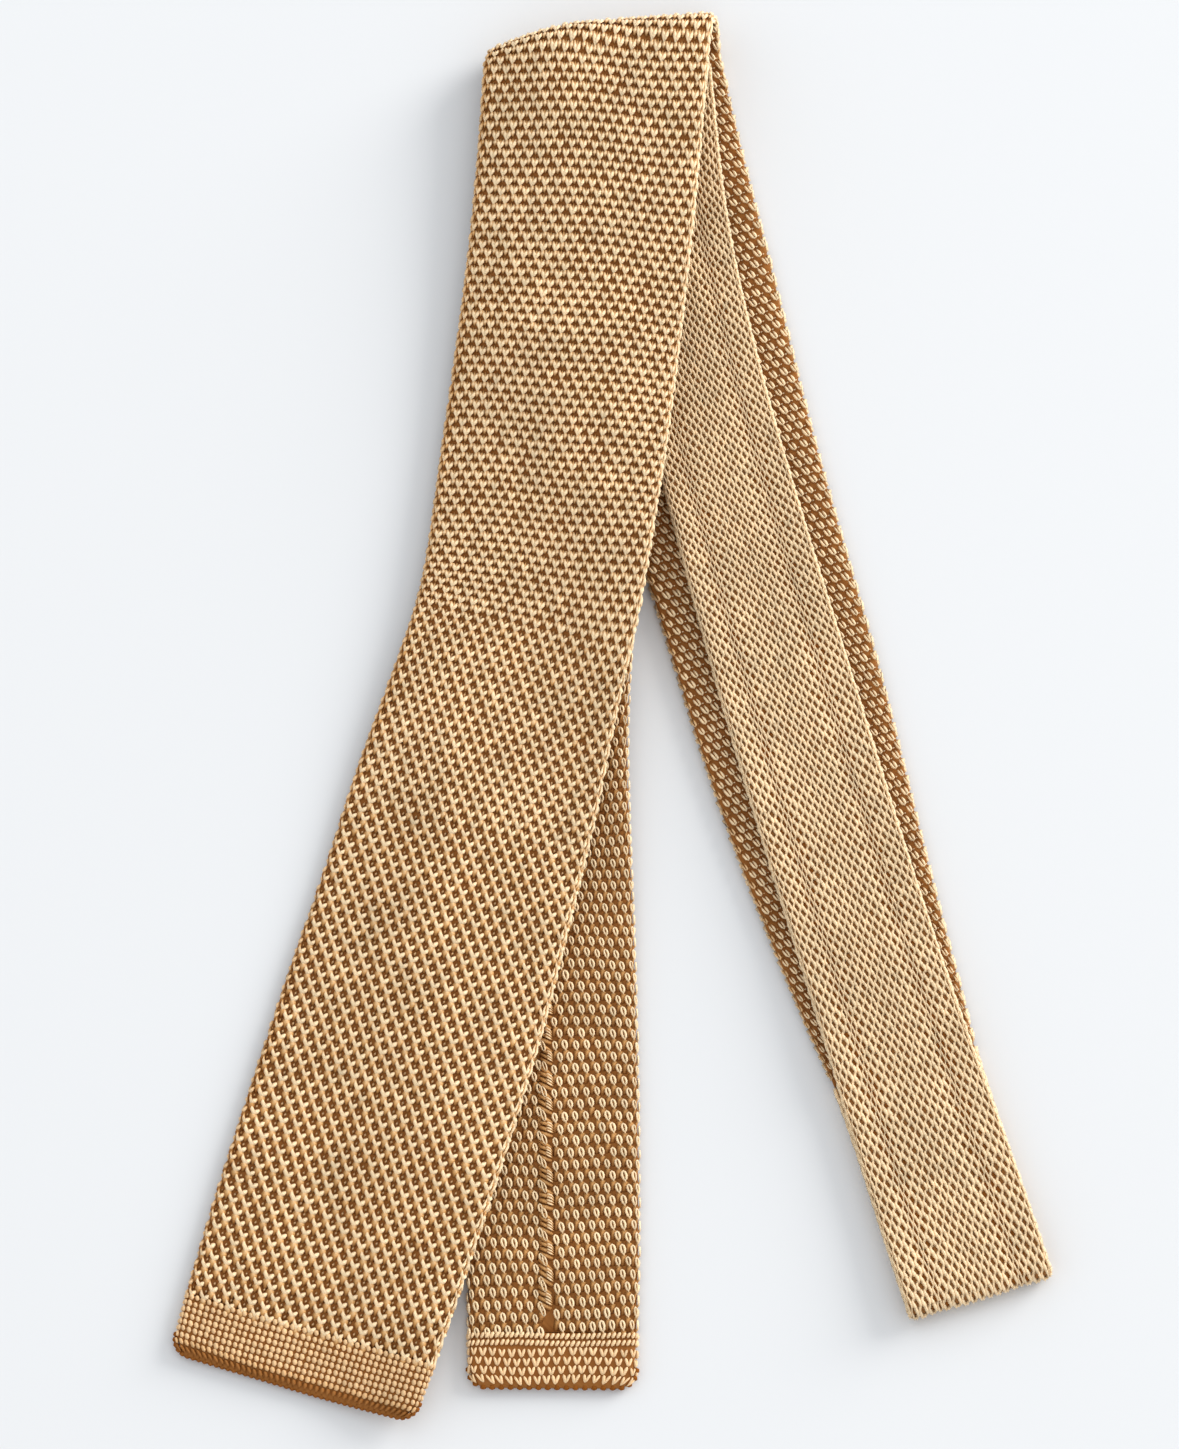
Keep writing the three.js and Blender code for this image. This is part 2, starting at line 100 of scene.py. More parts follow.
NECK_ROWS = (
    (0.0, -17.6, 1.0),
    (0.07, -17.6, 1.0),
    (0.24, -17.2, 0.93),
    (0.48, -15.8, 0.91),
    (0.67, -14.6, 0.86),
    (0.8, -12.0, 0.84),
    (0.88, -8.0, 0.835),
    (0.95, -5.0, 0.835),
    (1.0, -5.0, 0.835),
)
TAIL_ROWS = (
    (0.0, 8.2, 0.72),
    (0.08, 8.2, 0.72),
    (0.32, 8.2, 0.76),
    (0.48, 5.0, 0.83),
    (0.58, 0.6, 0.91),
    (0.7, -0.3, 0.975),
    (0.88, 0.0, 1.0),
    (1.0, 0.4, 0.97),
)

# How tall a row of stitches is, in millimetres, at a share of the length of the run that it follows
BLADE_PITCHES = (
    (0.0, 2.66), (0.2, 2.6), (0.34, 2.51), (0.5, 2.39), (0.6, 2.27), (0.72, 2.35), (0.95, 2.56), (1.9, 2.4)
)
NECK_PITCHES = (
    (-0.3, 2.1), (0.0, 2.05), (0.15, 1.88), (0.35, 1.7), (0.5, 1.6), (0.6, 1.42), (0.75, 1.5), (1.0, 1.5)
)
TAIL_PITCHES = ((0.2, 2.7), (0.55, 2.88), (0.75, 3.05), (0.9, 3.2), (1.0, 3.35))

UP = 1
DOWN = -1
WALK_STEPS = 240
GRID_STEP = 1.5 * MM
GRID_MARGIN = 60 * MM

# How far the wales and rows wander, in stitches
DRIFT = 0.12

# The neck band's front has a crease near each rolled edge, at a share of its half width
CREASE_AT = 0.6
CREASE_REACH = 0.3
CREASE_DEPTH = 0.35 * MM
PINCH = 0.4
PINCH_REACH = 1.7 * MM

# How much lighter the top of a yarn is painted than its flanks, and its underside darker: painted light and
# shade on its round
PAINTED_ROUND_SHADING = 0.14

# How stitches differ from one another: in size, as a share, and in height, in millimetres
SIZE_SPREAD = 0.05
LIFT_SPREAD = 0.03

# The backing's sections: places on each flat side, angles round each edge, and their spacing
RING_FLATS = 16
RING_TURNS = (36, 72, 108, 144)
RING_STEP = 4 * MM
FOLD_STEP = 0.7 * MM
FOLD_NEAR = 22 * MM
# Tone of the backing: a deep painted shade, as it lies in the hollows under the stitches
BACKING_SHADE_TONE = 0.1

# How deep the backing lies under the stitches: in the coarse knit, in the fine knit, at the sides
COARSE_RELIEF = 1.32 * MM
FINE_RELIEF = 1.05 * MM
SIDE_RELIEF = 0.8 * MM

# How far above the hem the blade's first row of stitches lies
FIRST_ROW = 0.9 * MM

# The blade's front: name of the piece, from and to as shares of the blade, how open its stitches are
BLADE_BANDS = (
    ("blade_low_stitches", 0.0, 0.2, 1.0),
    ("blade_open_stitches", 0.2, 0.42, 0.88),
    ("blade_middle_stitches", 0.42, 0.57, 0.6),
    ("blade_slack_stitches", 0.57, 0.9, 0.15),
    ("top_fold_stitches", 0.9, 1.2, 0.0),
)

# Width and height of one stitch as its shape is drawn, in millimetres
FRONT_PITCH = (3.5, 2.45)
BACK_PITCH = (2.65, 3.0)
NET_PITCH = (2.06, 1.85)
RIB_PITCH = (1.28, 1.45)
GRAIN_PITCH = (2.56, 2.35)

# Where the seam runs, in stitches from the middle of the tail's back, and the loops nearest to it
SEAM_WALE = 0.5
FIRST_WALE = 0.25


def length_setting(name, description, default):
    return FloatProperty(name=name, description=description, default=default, unit="LENGTH")


def colour_setting(name, description, default):
    return FloatVectorProperty(name=name, description=description, default=default, subtype="COLOR")


class TieSizes(bpy.types.PropertyGroup):
    """Lengths, widths and walls of the tie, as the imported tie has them."""

    blade_length: length_setting("Blade length", "Wide end, hem to top fold", 0.360)
    under_length: length_setting("Under length", "Run on the floor", 0.338)
    tail_length: length_setting("Tail length", "Inner fold to the tail's hem", 0.349)
    blade_width: length_setting("Blade width", "Widest place of the blade", 0.068)
    neck_width: length_setting("Neck width", "Widest place of the neck band", 0.0384)
    tail_width: length_setting("Tail width", "Widest place of the tail", 0.0446)
    coarse_thickness: length_setting("Coarse thickness", "Both walls of the coarse knit", 0.0036)
    fine_thickness: length_setting("Fine thickness", "Both walls of the neck's knit", 0.0028)
    slot_height: length_setting("Slot", "Air between the two walls", 0.0004)
    edge_wall: length_setting("Edge wall", "Knit beside the slot", 0.0022)
    blade_hem_height: length_setting("Blade hem", "Height of the blade's hem", 0.0155)
    tail_hem_height: length_setting("Tail hem", "Height of the tail's hem", 0.0146)
    hem_corner: length_setting("Hem corner", "Radius of a hem's corners", 0.005)
    seam_width: length_setting("Seam width", "Width of the stitched seam", 0.0036)


class TieGauge(bpy.types.PropertyGroup):
    """How many stitches go round each part of the tube, and how thick its yarn is."""

    blade_wales: IntProperty(name="Blade stitches", description="Round the blade", default=39)
    neck_wales: IntProperty(name="Neck stitches", description="Round the neck band", default=37)
    tail_wales: IntProperty(name="Tail stitches", description="Round the tail", default=35)
    blade_hem_grains: IntProperty(name="Blade hem grains", description="Round its hem", default=88)
    tail_hem_grains: IntProperty(name="Tail hem grains", description="Round its hem", default=36)
    coarse_yarn: length_setting("Coarse yarn", "Radius of the coarse yarn", 0.0005)
    fine_yarn: length_setting("Fine yarn", "Radius of the neck's yarn", 0.00055)
    unevenness: FloatProperty(
        name="Unevenness", description="How far a stitch strays, in stitches", default=0.028
    )


class TieColours(bpy.types.PropertyGroup):
    """Colours of the yarn where it lies high, half way and deep, and of the floor. The deep colour is painted
    shade in the knit's gaps.
    """

    high: colour_setting("High", "Yarn on top of the knit", (0.98, 0.745, 0.46))
    middle: colour_setting("Middle", "Yarn half way down", (0.65, 0.345, 0.12))
    # Painted shade for the yarn deep in the knit's gaps
    deep: colour_setting("Deep", "Yarn in the gaps", (0.26, 0.085, 0.015))
    floor: colour_setting("Floor", "Paper that the tie lies on", (0.714, 0.719, 0.727))


class TieStage(bpy.types.PropertyGroup):
    """Where the camera and the lights stand."""

    elevation: FloatProperty(
        name="Elevation", description="Camera above the horizon", default=math.radians(75), subtype="ANGLE"
    )
    distance: length_setting("Distance", "Camera to the tie", 3.0)
    view_height: length_setting("View height", "What the picture's height takes in", 0.3696)
    aim_x: length_setting("Aim X", "Middle of the picture", -0.0061)
    aim_y: length_setting("Aim Y", "Middle of the picture", -0.0040)
    key_power: FloatProperty(name="Key", description="Power of the key light, in watts", default=300.0)
    sky: FloatProperty(name="Sky", description="Strength of the light all round", default=1.0)


def smooth(value):
    t = np.clip(value, 0.0, 1.0)
    return t * t * (3 - 2 * t)


def leaning(angle):
    """Unit vectors of leans: from +Y towards +X."""
    return np.stack([np.sin(angle), np.cos(angle)], axis=-1)


def column(rows, name, share):
    """A smooth curve through one column of a run's table, at shares of the run."""
    at, values = rows["at"], rows[name]
    slopes = np.zeros(len(at))
    slopes[1:-1] = (values[2:] - values[:-2]) / (at[2:] - at[:-2])
    row = np.clip(np.searchsorted(at, share) - 1, 0, len(at) - 2)
    span = at[row + 1] - at[row]
    t = np.clip((share - at[row]) / span, 0.0, 1.0)
    value = values[row] * (1 - smooth(t)) + values[row + 1] * smooth(t)
    return value + span * t * (1 - t) * (slopes[row] * (1 - t) - slopes[row + 1] * t)


class Run:
    """One of the four runs between the folds, walked in plan."""

    def __init__(self, rows, named_width, heading, front, length, anchor, at_end=False):
        at, lean, width = np.array(rows).T
        self.rows = {"at": at, "lean": np.radians(lean), "width": width * named_width}
        self.heading = heading
        self.front = front
        self.length = length
        self.start = 0.0
        self.folds = {}
        unit = self.walk()
        shift = anchor - unit[-1] * length if at_end else anchor
        self.places = unit * length + shift

    def walk(self):
        shares = (np.arange(WALK_STEPS) + 0.5) / WALK_STEPS
        steps = leaning(column(self.rows, "lean", shares)) * self.heading / WALK_STEPS
        return np.vstack([np.zeros((1, 2)), np.cumsum(steps, axis=0)])

    def place(self, local):
        """Places of the run's middle line and its leans there; past an end it goes straight on."""
        inside = np.clip(local, 0.0, self.length)
        at = inside / self.length * WALK_STEPS
        step = np.minimum(at.astype(int), WALK_STEPS - 1)
        part = (at - step)[:, None]
        place = self.places[step] * (1 - part) + self.places[step + 1] * part
        lean = column(self.rows, "lean", inside / self.length)
        return place + leaning(lean) * (self.heading * (local - inside))[:, None], lean

    def width(self, local):
        return column(self.rows, "width", np.clip(local / self.length, 0.0, 1.0))

    def nearest(self, places):
        """Nearest lengths along the run, and the distances past its edge, of places in plan."""
        squares = ((places[:, None, :] - self.places[None, :, :]) ** 2).sum(axis=2)
        best = squares.argmin(axis=1)
        local = best / WALK_STEPS * self.length
        lean = leaning(column(self.rows, "lean", best / WALK_STEPS))
        offset = places - self.places[best]
        across = np.abs(offset[:, 0] * lean[:, 1] - offset[:, 1] * lean[:, 0])
        at_end = (best == 0) | (best == WALK_STEPS)
        along = np.where(at_end, 0.0, (offset * lean).sum(axis=1) * self.heading)
        local = local + along
        return local, across - self.width(local) / 2


class Fold:
    """A half turn of the cloth about a line square to the mean lean of its two runs."""

    def __init__(self, end_lean, start_lean, facing, middle, length):
        self.normal = leaning((end_lean + start_lean) / 2) * facing
        self.middle = middle
        self.length = length

    def beyond(self, places):
        return (places - self.middle) @ self.normal

    def exit(self, lean, heading):
        """Where the middle line comes out, and the length that it takes on its way round."""
        direction = leaning(lean) * heading
        travel = self.length / (direction @ self.normal)
        return self.middle + direction * travel - self.normal * self.length, travel


class PlanGrid:
    """A value worked out on a grid in plan, and read between its corners."""

    def __init__(self, low, high, values):
        self.low = low
        self.counts = np.ceil((high - low) / GRID_STEP).astype(int) + 2
        x, y = np.meshgrid(*(low[i] + np.arange(self.counts[i]) * GRID_STEP for i in (0, 1)), indexing="ij")
        places = np.stack([x.ravel(), y.ravel()], axis=1)
        parts = [values(part) for part in np.array_split(places, 1 + len(places) // 8000)]
        self.grids = [np.concatenate(part).reshape(self.counts) for part in zip(*parts)]

    def at(self, places):
        cell = (places - self.low) / GRID_STEP
        corner = np.clip(cell.astype(int), 0, self.counts - 2)
        part = np.clip(cell - corner, 0.0, 1.0)
        i, j = corner[:, 0], corner[:, 1]
        u, v = part[:, 0], part[:, 1]
        found = []
        for grid in self.grids:
            near = grid[i, j] * (1 - u) + grid[i + 1, j] * u
            far = grid[i, j + 1] * (1 - u) + grid[i + 1, j + 1] * u
            found.append(near * (1 - v) + far * v)
        return found


class TieForm:
    """The shape of the whole tie, from places on the cloth to points in space."""

    # Clearances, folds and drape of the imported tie
    layer_gap = 0.5 * MM
    join_gap = 0.3 * MM
    seam_rise = 1.1 * MM
    fold_setback = 4 * MM
    fold_ease = 1 * MM
    ease_reach = 30 * MM
    drape_margin = 3 * MM
    drape_reach = 38 * MM
    join_blend = 14 * MM
    neck_start = 0.82
    neck_end = 0.2
    hem_end_thickness = 2 * MM

    # The outer turn bulges where the neck and the tail lie inside it and at its left corner, and
    # the corners of each turn are rounded
    bulge = 2 * MM
    bulge_lean = 0.5
    bulge_from = -22 * MM
    bulge_reach = 28 * MM
    corner_inset = 0.4 * MM
    corner_bulge = 4 * MM
    corner_from = -21 * MM
    corner_width = 14 * MM
    corner_reach = 3.5 * MM

    def __init__(self, sizes):
        self.sizes = sizes
        coarse, fine = sizes.coarse_thickness, sizes.fine_thickness
        neck_turn = math.pi * (fine + self.layer_gap + self.fold_ease) / 2
        stack = coarse + 2 * fine + 3 * self.layer_gap
        outer_turn = math.pi * (stack + self.fold_ease + self.seam_rise) / 2
        lean = {name: np.radians([row[1] for row in rows]) for name, rows in (
            ("blade", BLADE_ROWS), ("under", UNDER_ROWS), ("neck", NECK_ROWS), ("tail", TAIL_ROWS))}

        blade = Run(BLADE_ROWS, sizes.blade_width, UP, UP, sizes.blade_length, np.zeros(2), at_end=True)
        outer = Fold(lean["blade"][-1], lean["under"][0], UP, np.zeros(2), outer_turn)
        place, outer_travel = outer.exit(lean["blade"][-1], UP)
        under = Run(UNDER_ROWS, sizes.blade_width, DOWN, DOWN, sizes.under_length, place)
        bottom = Fold(lean["under"][-1], lean["neck"][0], DOWN, under.places[-1], neck_turn)
        place, bottom_travel = bottom.exit(lean["under"][-1], DOWN)
        unit = Run(NECK_ROWS, sizes.neck_width, UP, UP, 1.0, np.zeros(2)).places[-1]
        climb = (outer.middle - place) @ outer.normal - self.fold_setback
        neck = Run(NECK_ROWS, sizes.neck_width, UP, UP, climb / (unit @ outer.normal), place)
        inner = Fold(lean["neck"][-1], lean["tail"][0], UP, neck.places[-1], neck_turn)
        place, inner_travel = inner.exit(lean["neck"][-1], UP)
        tail = Run(TAIL_ROWS, sizes.tail_width, DOWN, DOWN, sizes.tail_length, place)

        under.start = blade.length + outer_travel
        neck.start = under.start + under.length + bottom_travel
        tail.start = neck.start + neck.length + inner_travel
        self.length = tail.start + tail.length
        self.fine_from = under.start + self.neck_start * under.length
        self.fine_to = tail.start + self.neck_end * tail.length
        self.blade, self.under, self.neck, self.tail = blade, under, neck, tail
        self.runs = [blade, under, neck, tail]
        self.outer, self.bottom, self.inner = outer, bottom, inner
        self.fold_sides = {
            outer: (under, blade, True, 1),
            bottom: (under, neck, False, 1),
            inner: (neck, tail, False, -1),
        }
        blade.folds = {"end": outer}
        under.folds = {"start": outer, "end": bottom}
        neck.folds = {"start": bottom, "end": inner}
        tail.folds = {"start": inner}

        every = np.vstack([run.places for run in self.runs])
        low, high = every.min(axis=0) - GRID_MARGIN, every.max(axis=0) + GRID_MARGIN
        self.layers = {
            run: PlanGrid(low, high, lambda places, run=run: self.layer(run, places))
            for run in (under, neck, tail)
        }
        self.shift = np.zeros(3)
        self.worn = 0.0
        self.centre()
        self.worn = 1.0

    def thickness(self, length):
        """Thickness of the flattened tube: thinner where the neck's fine knit is."""
        into = smooth((length - self.fine_from) / self.join_blend + 0.5)
        out_of = smooth((length - self.fine_to) / self.join_blend + 0.5)
        coarse, fine = self.sizes.coarse_thickness, self.sizes.fine_thickness
        return coarse + (fine - coarse) * (into - out_of)

    def section(self, length):
        """Half width and half thickness of the tube, with the rounded corners of both hems."""
        half_width = np.zeros(len(length))
        for run, here in self.parts(length):
            half_width[here] = run.width(length[here] - run.start) / 2
        thickness = self.thickness(length)
        corner = self.sizes.hem_corner
        from_end = np.minimum(length, self.length - length)
        in_corner = np.clip(corner - from_end, 0.0, corner)
        trim = corner - np.sqrt(corner**2 - in_corner**2)
        thickness = thickness - (thickness - self.hem_end_thickness) * trim / corner
        return half_width - trim, thickness / 2

    def layer(self, run, places):
        """How fully a run carries what lies over it, and how thick it is there."""
        local, outside = run.nearest(places)
        share = 1 - smooth((outside - self.drape_margin) / self.drape_reach)
        return share, self.thickness(run.start + local)

    def carried(self, run, places, extra):
        share, thickness = self.layers[run].at(places)
        return share * (thickness + self.layer_gap + extra)

    def ease(self, fold, places):
        return self.fold_ease * (1 - smooth(-fold.beyond(places) / self.ease_reach))

    def underside(self, run, places):
        """Height of the underside of a run above the floor, at places in plan."""
        if run is self.under:
            return np.zeros(len(places))
        carried = self.carried(self.under, places, 0)
        if run is self.neck:
            return carried + self.ease(self.bottom, places)
        carried = carried + self.carried(self.neck, places, self.ease(self.inner, places))
        if run is self.tail:
            return carried
        return carried + self.carried(self.tail, places, self.seam_rise)

    def parts(self, length):
        """The runs, each with the lengths that belong to it; they change in the middle of a fold."""
        turns = [(a.start + a.length + b.start) / 2 for a, b in zip(self.runs, self.runs[1:])]
        which = np.searchsorted(turns, length, side="right")
        return [(run, np.flatnonzero(which == i)) for i, run in enumerate(self.runs)]

    def round_fold(self, fold, places, turned, along, out, lift, edge):
        lower, upper, starts_high, front_outside = self.fold_sides[fold]
        sideways = np.array([fold.normal[1], -fold.normal[0]])
        foot = places - fold.normal * along[:, None]
        low = self.underside(lower, foot) + lift
        high = self.underside(upper, foot) + lift
        radius = (high - low) / 2 + out * front_outside
        angle = math.pi * turned / fold.length
        rise = np.cos(angle) if starts_high else -np.cos(angle)
        bulge = np.zeros(len(places))
        if fold is self.outer:
            place = (foot + self.shift[:2]) @ sideways
            bulge = self.bulge * smooth((place - self.bulge_from) / self.bulge_reach)
            bulge += self.corner_bulge * smooth((self.corner_from - place) / self.corner_width)
        inset = self.corner_inset * (1 - smooth(edge / self.corner_reach))
        reach = np.maximum(radius + self.worn * (bulge - inset), 0.4 * radius) * np.sin(angle)
        aside = self.worn * self.bulge_lean * bulge * np.sin(angle)
        foot = foot + fold.normal * reach[:, None] + sideways * aside[:, None]
        return np.column_stack([foot, (high + low) / 2 + radius * rise])

    def points(self, length, across, out):
        """Points in space of places on the cloth."""
        found = np.empty((len(length), 3))
        half_width, lifts = self.section(length)
        edges = half_width - np.abs(across)
        lifts = np.maximum(lifts, self.thickness(length) / 2)
        for run, here in self.parts(length):
            if not len(here):
                continue
            place, lean = run.place(length[here] - run.start)
            place = place + np.column_stack([np.cos(lean), -np.sin(lean)]) * across[here][:, None]
            lift, height = lifts[here], out[here]
            point = np.column_stack([place, self.underside(run, place) + lift + height * run.front])
            for side, fold in run.folds.items():
                along = fold.beyond(place)
                past = along > 0
                turned = along if side == "end" else fold.length - along
                edge = edges[here]
                rounded = (array[past] for array in (place, turned, along, height, lift, edge))
                point[past] = self.round_fold(fold, *rounded)
            found[here] = point
        return found + self.shift

    def centre(self):
        """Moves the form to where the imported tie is."""
        length = np.linspace(0.0, self.length, 2400)
        half_width, radius = self.section(length)
        sides = [self.points(length, side * half_width, 0 * length) for side in (1, -1)]
        crown = [self.points(length, share * half_width, radius) for share in np.linspace(-0.9, 0.9, 9)]
        every = np.vstack(sides + crown)
        low, high = (np.array(corner) for corner in CAD_BOX)
        self.shift = (low + high) / 2 - (every.min(axis=0) + every.max(axis=0)) / 2
        self.shift[2] = 0.0


class Cloth:
    """A stretch of the tube with its own gauge: stitches round it and rows along it."""

    def __init__(self, form, wales, pitches, run, creases=False, origin=0.0):
        self.form = form
        self.wales = wales
        self.creases = creases
        share, pitch = np.array(pitches).T
        self.lengths = np.linspace(-20 * MM, form.length + 20 * MM, 4000)
        pitch = np.interp((self.lengths - run.start) / run.length, share, pitch) * MM
        step = self.lengths[1] - self.lengths[0]
        self.rows = np.cumsum(step / pitch)
        self.rows -= self.row_at(origin)

    def row_at(self, length):
        return float(np.interp(length, self.lengths, self.rows))

    def place(self, wale, row, height):
        """Points of the knit. wale counts round the tube from the middle of its front, row counts
        along it, and height is out of the outer surface of the cloth."""
        round_it = 2 * math.pi * wale / self.wales
        drift = DRIFT * np.sin(2 * round_it + 0.17 * row)
        row = row + DRIFT * np.sin(3 * round_it + 0.11 * row)
        length = np.interp(row, self.rows, self.lengths)
        half_width, radius = self.form.section(length)
        flat = half_width - radius
        half_round = 2 * flat + math.pi * radius
        turn = ((wale + drift) / self.wales + 0.5) % 1.0 - 0.5
        side = np.where(turn < 0, -1.0, 1.0)
        away = np.abs(turn) * 2 * half_round
        if self.creases:
            away = pinch(away, flat * CREASE_AT)
        angle = np.clip((away - flat) / radius, 0.0, math.pi)
        back = np.maximum(away - flat - math.pi * radius, 0.0)
        across = np.minimum(away, flat) - back + (radius + height) * np.sin(angle)
        out = (radius + height) * np.cos(angle)
        if self.creases:
            out = out - crease_dip(away, flat)
        return self.form.points(length, side * across, out)


def pinch(away, crease):
    """Draws the stitches together at a crease."""
    offset = away - crease
    return away - PINCH * offset * np.exp(-((offset / PINCH_REACH) ** 2) / 2)


def crease_dip(away, flat):
    share = np.abs(away / flat - CREASE_AT)
    return np.where(away < flat, CREASE_DEPTH * (1 - smooth(share / CREASE_REACH)), 0.0)


class Shape:
    """Corners, faces, tones and the yarn's own coordinates of one small closed shape, or of a few."""

    def __init__(self, corners, rise, loops, totals, uv):
        self.corners = np.asarray(corners, float)
        self.rise = np.asarray(rise, float)
        self.loops = np.asarray(loops, int)
        self.totals = np.asarray(totals, int)
        self.uv = np.asarray(uv, float)

    def __add__(self, other):
        return Shape(
            np.vstack([self.corners, other.corners]),
            np.concatenate([self.rise, other.rise]),
            np.concatenate([self.loops, other.loops + len(self.corners)]),
            np.concatenate([self.totals, other.totals]),
            np.vstack([self.uv, other.uv]),
        )


def yarn(points, radii, tone, sides=4, ring=False, flat=1.0):
    """A length of yarn through a few points, closed at its ends, or joined into a ring. tone is
    its painted shade, from 0, dark deep in the knit, to 1, pale on top of it, and flat squashes it."""
    points = np.array(points, float) * MM
    radii = np.broadcast_to(np.array(radii, float) * MM, (len(points),))
    tone = np.broadcast_to(np.array(tone, float), (len(points),))
    ahead = np.roll(points, -1, axis=0)
    behind = np.roll(points, 1, axis=0)
    if not ring:
        ahead[-1] = points[-1]
        behind[0] = points[0]
    tangent = ahead - behind
    tangent /= np.linalg.norm(tangent, axis=1)[:, None]
    sideways = np.cross(tangent, (0.0, 0.0, 1.0))
    sideways /= np.linalg.norm(sideways, axis=1)[:, None]
    upwards = np.cross(sideways, tangent)
    turn = math.pi / 2 + 2 * math.pi * np.arange(sides) / sides
    spokes = sideways[:, None] * np.cos(turn)[None, :, None] + upwards[:, None] * np.sin(turn)[None, :, None]
    spokes[:, :, 2] *= flat
    corners = (points[:, None] + spokes * radii[:, None, None]).reshape(-1, 3)
    # Painted light on the yarn's top and painted shade on its underside
    rise = (tone[:, None] + PAINTED_ROUND_SHADING * np.sin(turn)[None, :]).ravel()
    steps = np.linalg.norm(np.diff(points, axis=0), axis=1)
    along = np.concatenate([[0.0], np.cumsum(steps), [steps.sum() + steps.mean()]]) / MM
    loops, uv = [], []
    count = len(points)
    for i in range(count if ring else count - 1):
        j = (i + 1) % count
        for k in range(sides):
            n = (k + 1) % sides
            loops += [i * sides + k, j * sides + k, j * sides + n, i * sides + n]
            near, far = k / sides, (k + 1) / sides
            uv += [(near, along[i]), (near, along[i + 1]), (far, along[i + 1]), (far, along[i])]
    totals = [4] * (len(loops) // 4)
    if not ring:
        loops += list(range(sides)) + [(count - 1) * sides + k for k in reversed(range(sides))]
        uv += [(k / sides, 0.0) for k in range(sides)]
        uv += [(k / sides, along[count - 1]) for k in reversed(range(sides))]
        totals += [sides, sides]
    return Shape(corners, rise, loops, totals, uv)


def grain(centre, half_length, half_width, half_height, tone, lean=0.0):
    """A short fat stitch like a grain of rice, lying along the rows' direction of growth."""
    lean = math.radians(lean)
    ends = np.array([-1.0, -0.55, 0.55, 1.0])
    fat = np.array([0.3, 0.95, 0.95, 0.3])
    points = np.column_stack([math.sin(lean) * ends, math.cos(lean) * ends, 0 * ends]) * half_length
    return yarn(points + np.array(centre), fat * half_width, tone, sides=5, flat=half_height / half_width)


def make_piece(name, corners, loops, totals, uv, rise, tint, material):
    """A finished piece that rides on the tie. rise gives each corner its painted shade and tint its own
    random tone; both give its colour.
    """
    mesh = bpy.data.meshes.new(name)
    mesh.vertices.add(len(corners))
    mesh.vertices.foreach_set("co", np.ascontiguousarray(corners, np.float32).ravel())
    mesh.loops.add(len(loops))
    mesh.loops.foreach_set("vertex_index", np.ascontiguousarray(loops, np.int32))
    mesh.polygons.add(len(totals))
    mesh.polygons.foreach_set("loop_start", np.concatenate([[0], np.cumsum(totals)[:-1]]).astype(np.int32))
    mesh.polygons.foreach_set("use_smooth", np.ones(len(totals), bool))
    mesh.update(calc_edges=True)
    layer = mesh.uv_layers.new(name="yarn")
    layer.uv.foreach_set("vector", np.ascontiguousarray(uv, np.float32).ravel())
    for key, value in (("rise", rise), ("tint", tint)):
        attribute = mesh.attributes.new(key, "FLOAT", "POINT")
        attribute.data.foreach_set("value", np.ascontiguousarray(value, np.float32))
    mesh.materials.append(material)
    piece = bpy.data.objects.new(name, mesh)
    bpy.context.scene.collection.objects.link(piece)
    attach(piece, "root")
    print(name, "triangles", int((np.asarray(totals) - 2).sum()))
    return piece


def make_copies(name, shape, corners, tint, material, shade=0.0):
    """A piece made of copies of one shape. tint and shade give a value to each copy."""
    count = len(tint)
    loops = (shape.loops[None, :] + np.arange(count)[:, None] * len(shape.corners)).ravel()
    rise = (shape.rise[None, :] + np.broadcast_to(shade, (count,))[:, None]).ravel()
    tint = np.repeat(tint, len(shape.corners))
    uv = np.tile(shape.uv, (count, 1))
    return make_piece(name, corners, loops, np.tile(shape.totals, count), uv, rise, tint, material)


def lay(name, shape, cloth, places, pitch, seed, material, shade=0.0):
    """Lays a copy of a stitch on the cloth at each wale and row. pitch is the width and the height
    of one stitch in the shape's own measure, and shade is added to the tone of each stitch."""
    random = np.random.default_rng(seed)
    stray = bpy.context.scene.tie_gauge.unevenness
    wales, rows = places
    count = len(wales)
    wales = wales + random.normal(0.0, stray, count)
    rows = rows + random.normal(0.0, stray, count)
    size = 1 + random.normal(0.0, SIZE_SPREAD, count)[:, None]
    lift = random.normal(0.0, LIFT_SPREAD, count)[:, None] * MM
    tint = random.normal(0.0, 1.0, count)
    x, y, z = shape.corners.T
    wale = (wales[:, None] + size * x[None, :] / (pitch[0] * MM)).ravel()
    row = (rows[:, None] + size * y[None, :] / (pitch[1] * MM)).ravel()
    corners = cloth.place(wale, row, (z[None, :] + lift).ravel())
    return make_copies(name, shape, corners, tint, material, shade)


def lattice(cloth, start, end, half_span, middle=0.0, staggered=True):
    """Wales and rows of the stitches between two lengths, within some wales of a middle."""
    first, last = math.ceil(cloth.row_at(start)), math.floor(cloth.row_at(end))
    wales, rows = [], []
    for row in range(first, last + 1):
        offset = 0.5 * (row % 2) if staggered else 0.0
        reach = math.ceil(half_span) + 1
        found = np.arange(-reach, reach + 1) + offset
        found = found[np.abs(found) <= half_span]
        wales.append(found + middle)
        rows.append(np.full(len(found), float(row)))
    return np.concatenate(wales), np.concatenate(rows)


def ring_outline():
    """Corners round one section: place on the flat from -1 to 1, and angle round the edge."""
    flats = np.linspace(-1.0, 1.0, RING_FLATS + 1)
    turns = np.radians(RING_TURNS)
    flat = np.concatenate([flats, np.ones(len(turns)), flats[::-1], -np.ones(len(turns))])
    front = np.zeros(RING_FLATS + 1)
    turn = np.concatenate([front, turns, front + math.pi, turns[::-1]])
    side = np.sign(flat) * (np.abs(flat) == 1.0)
    return flat, turn, side


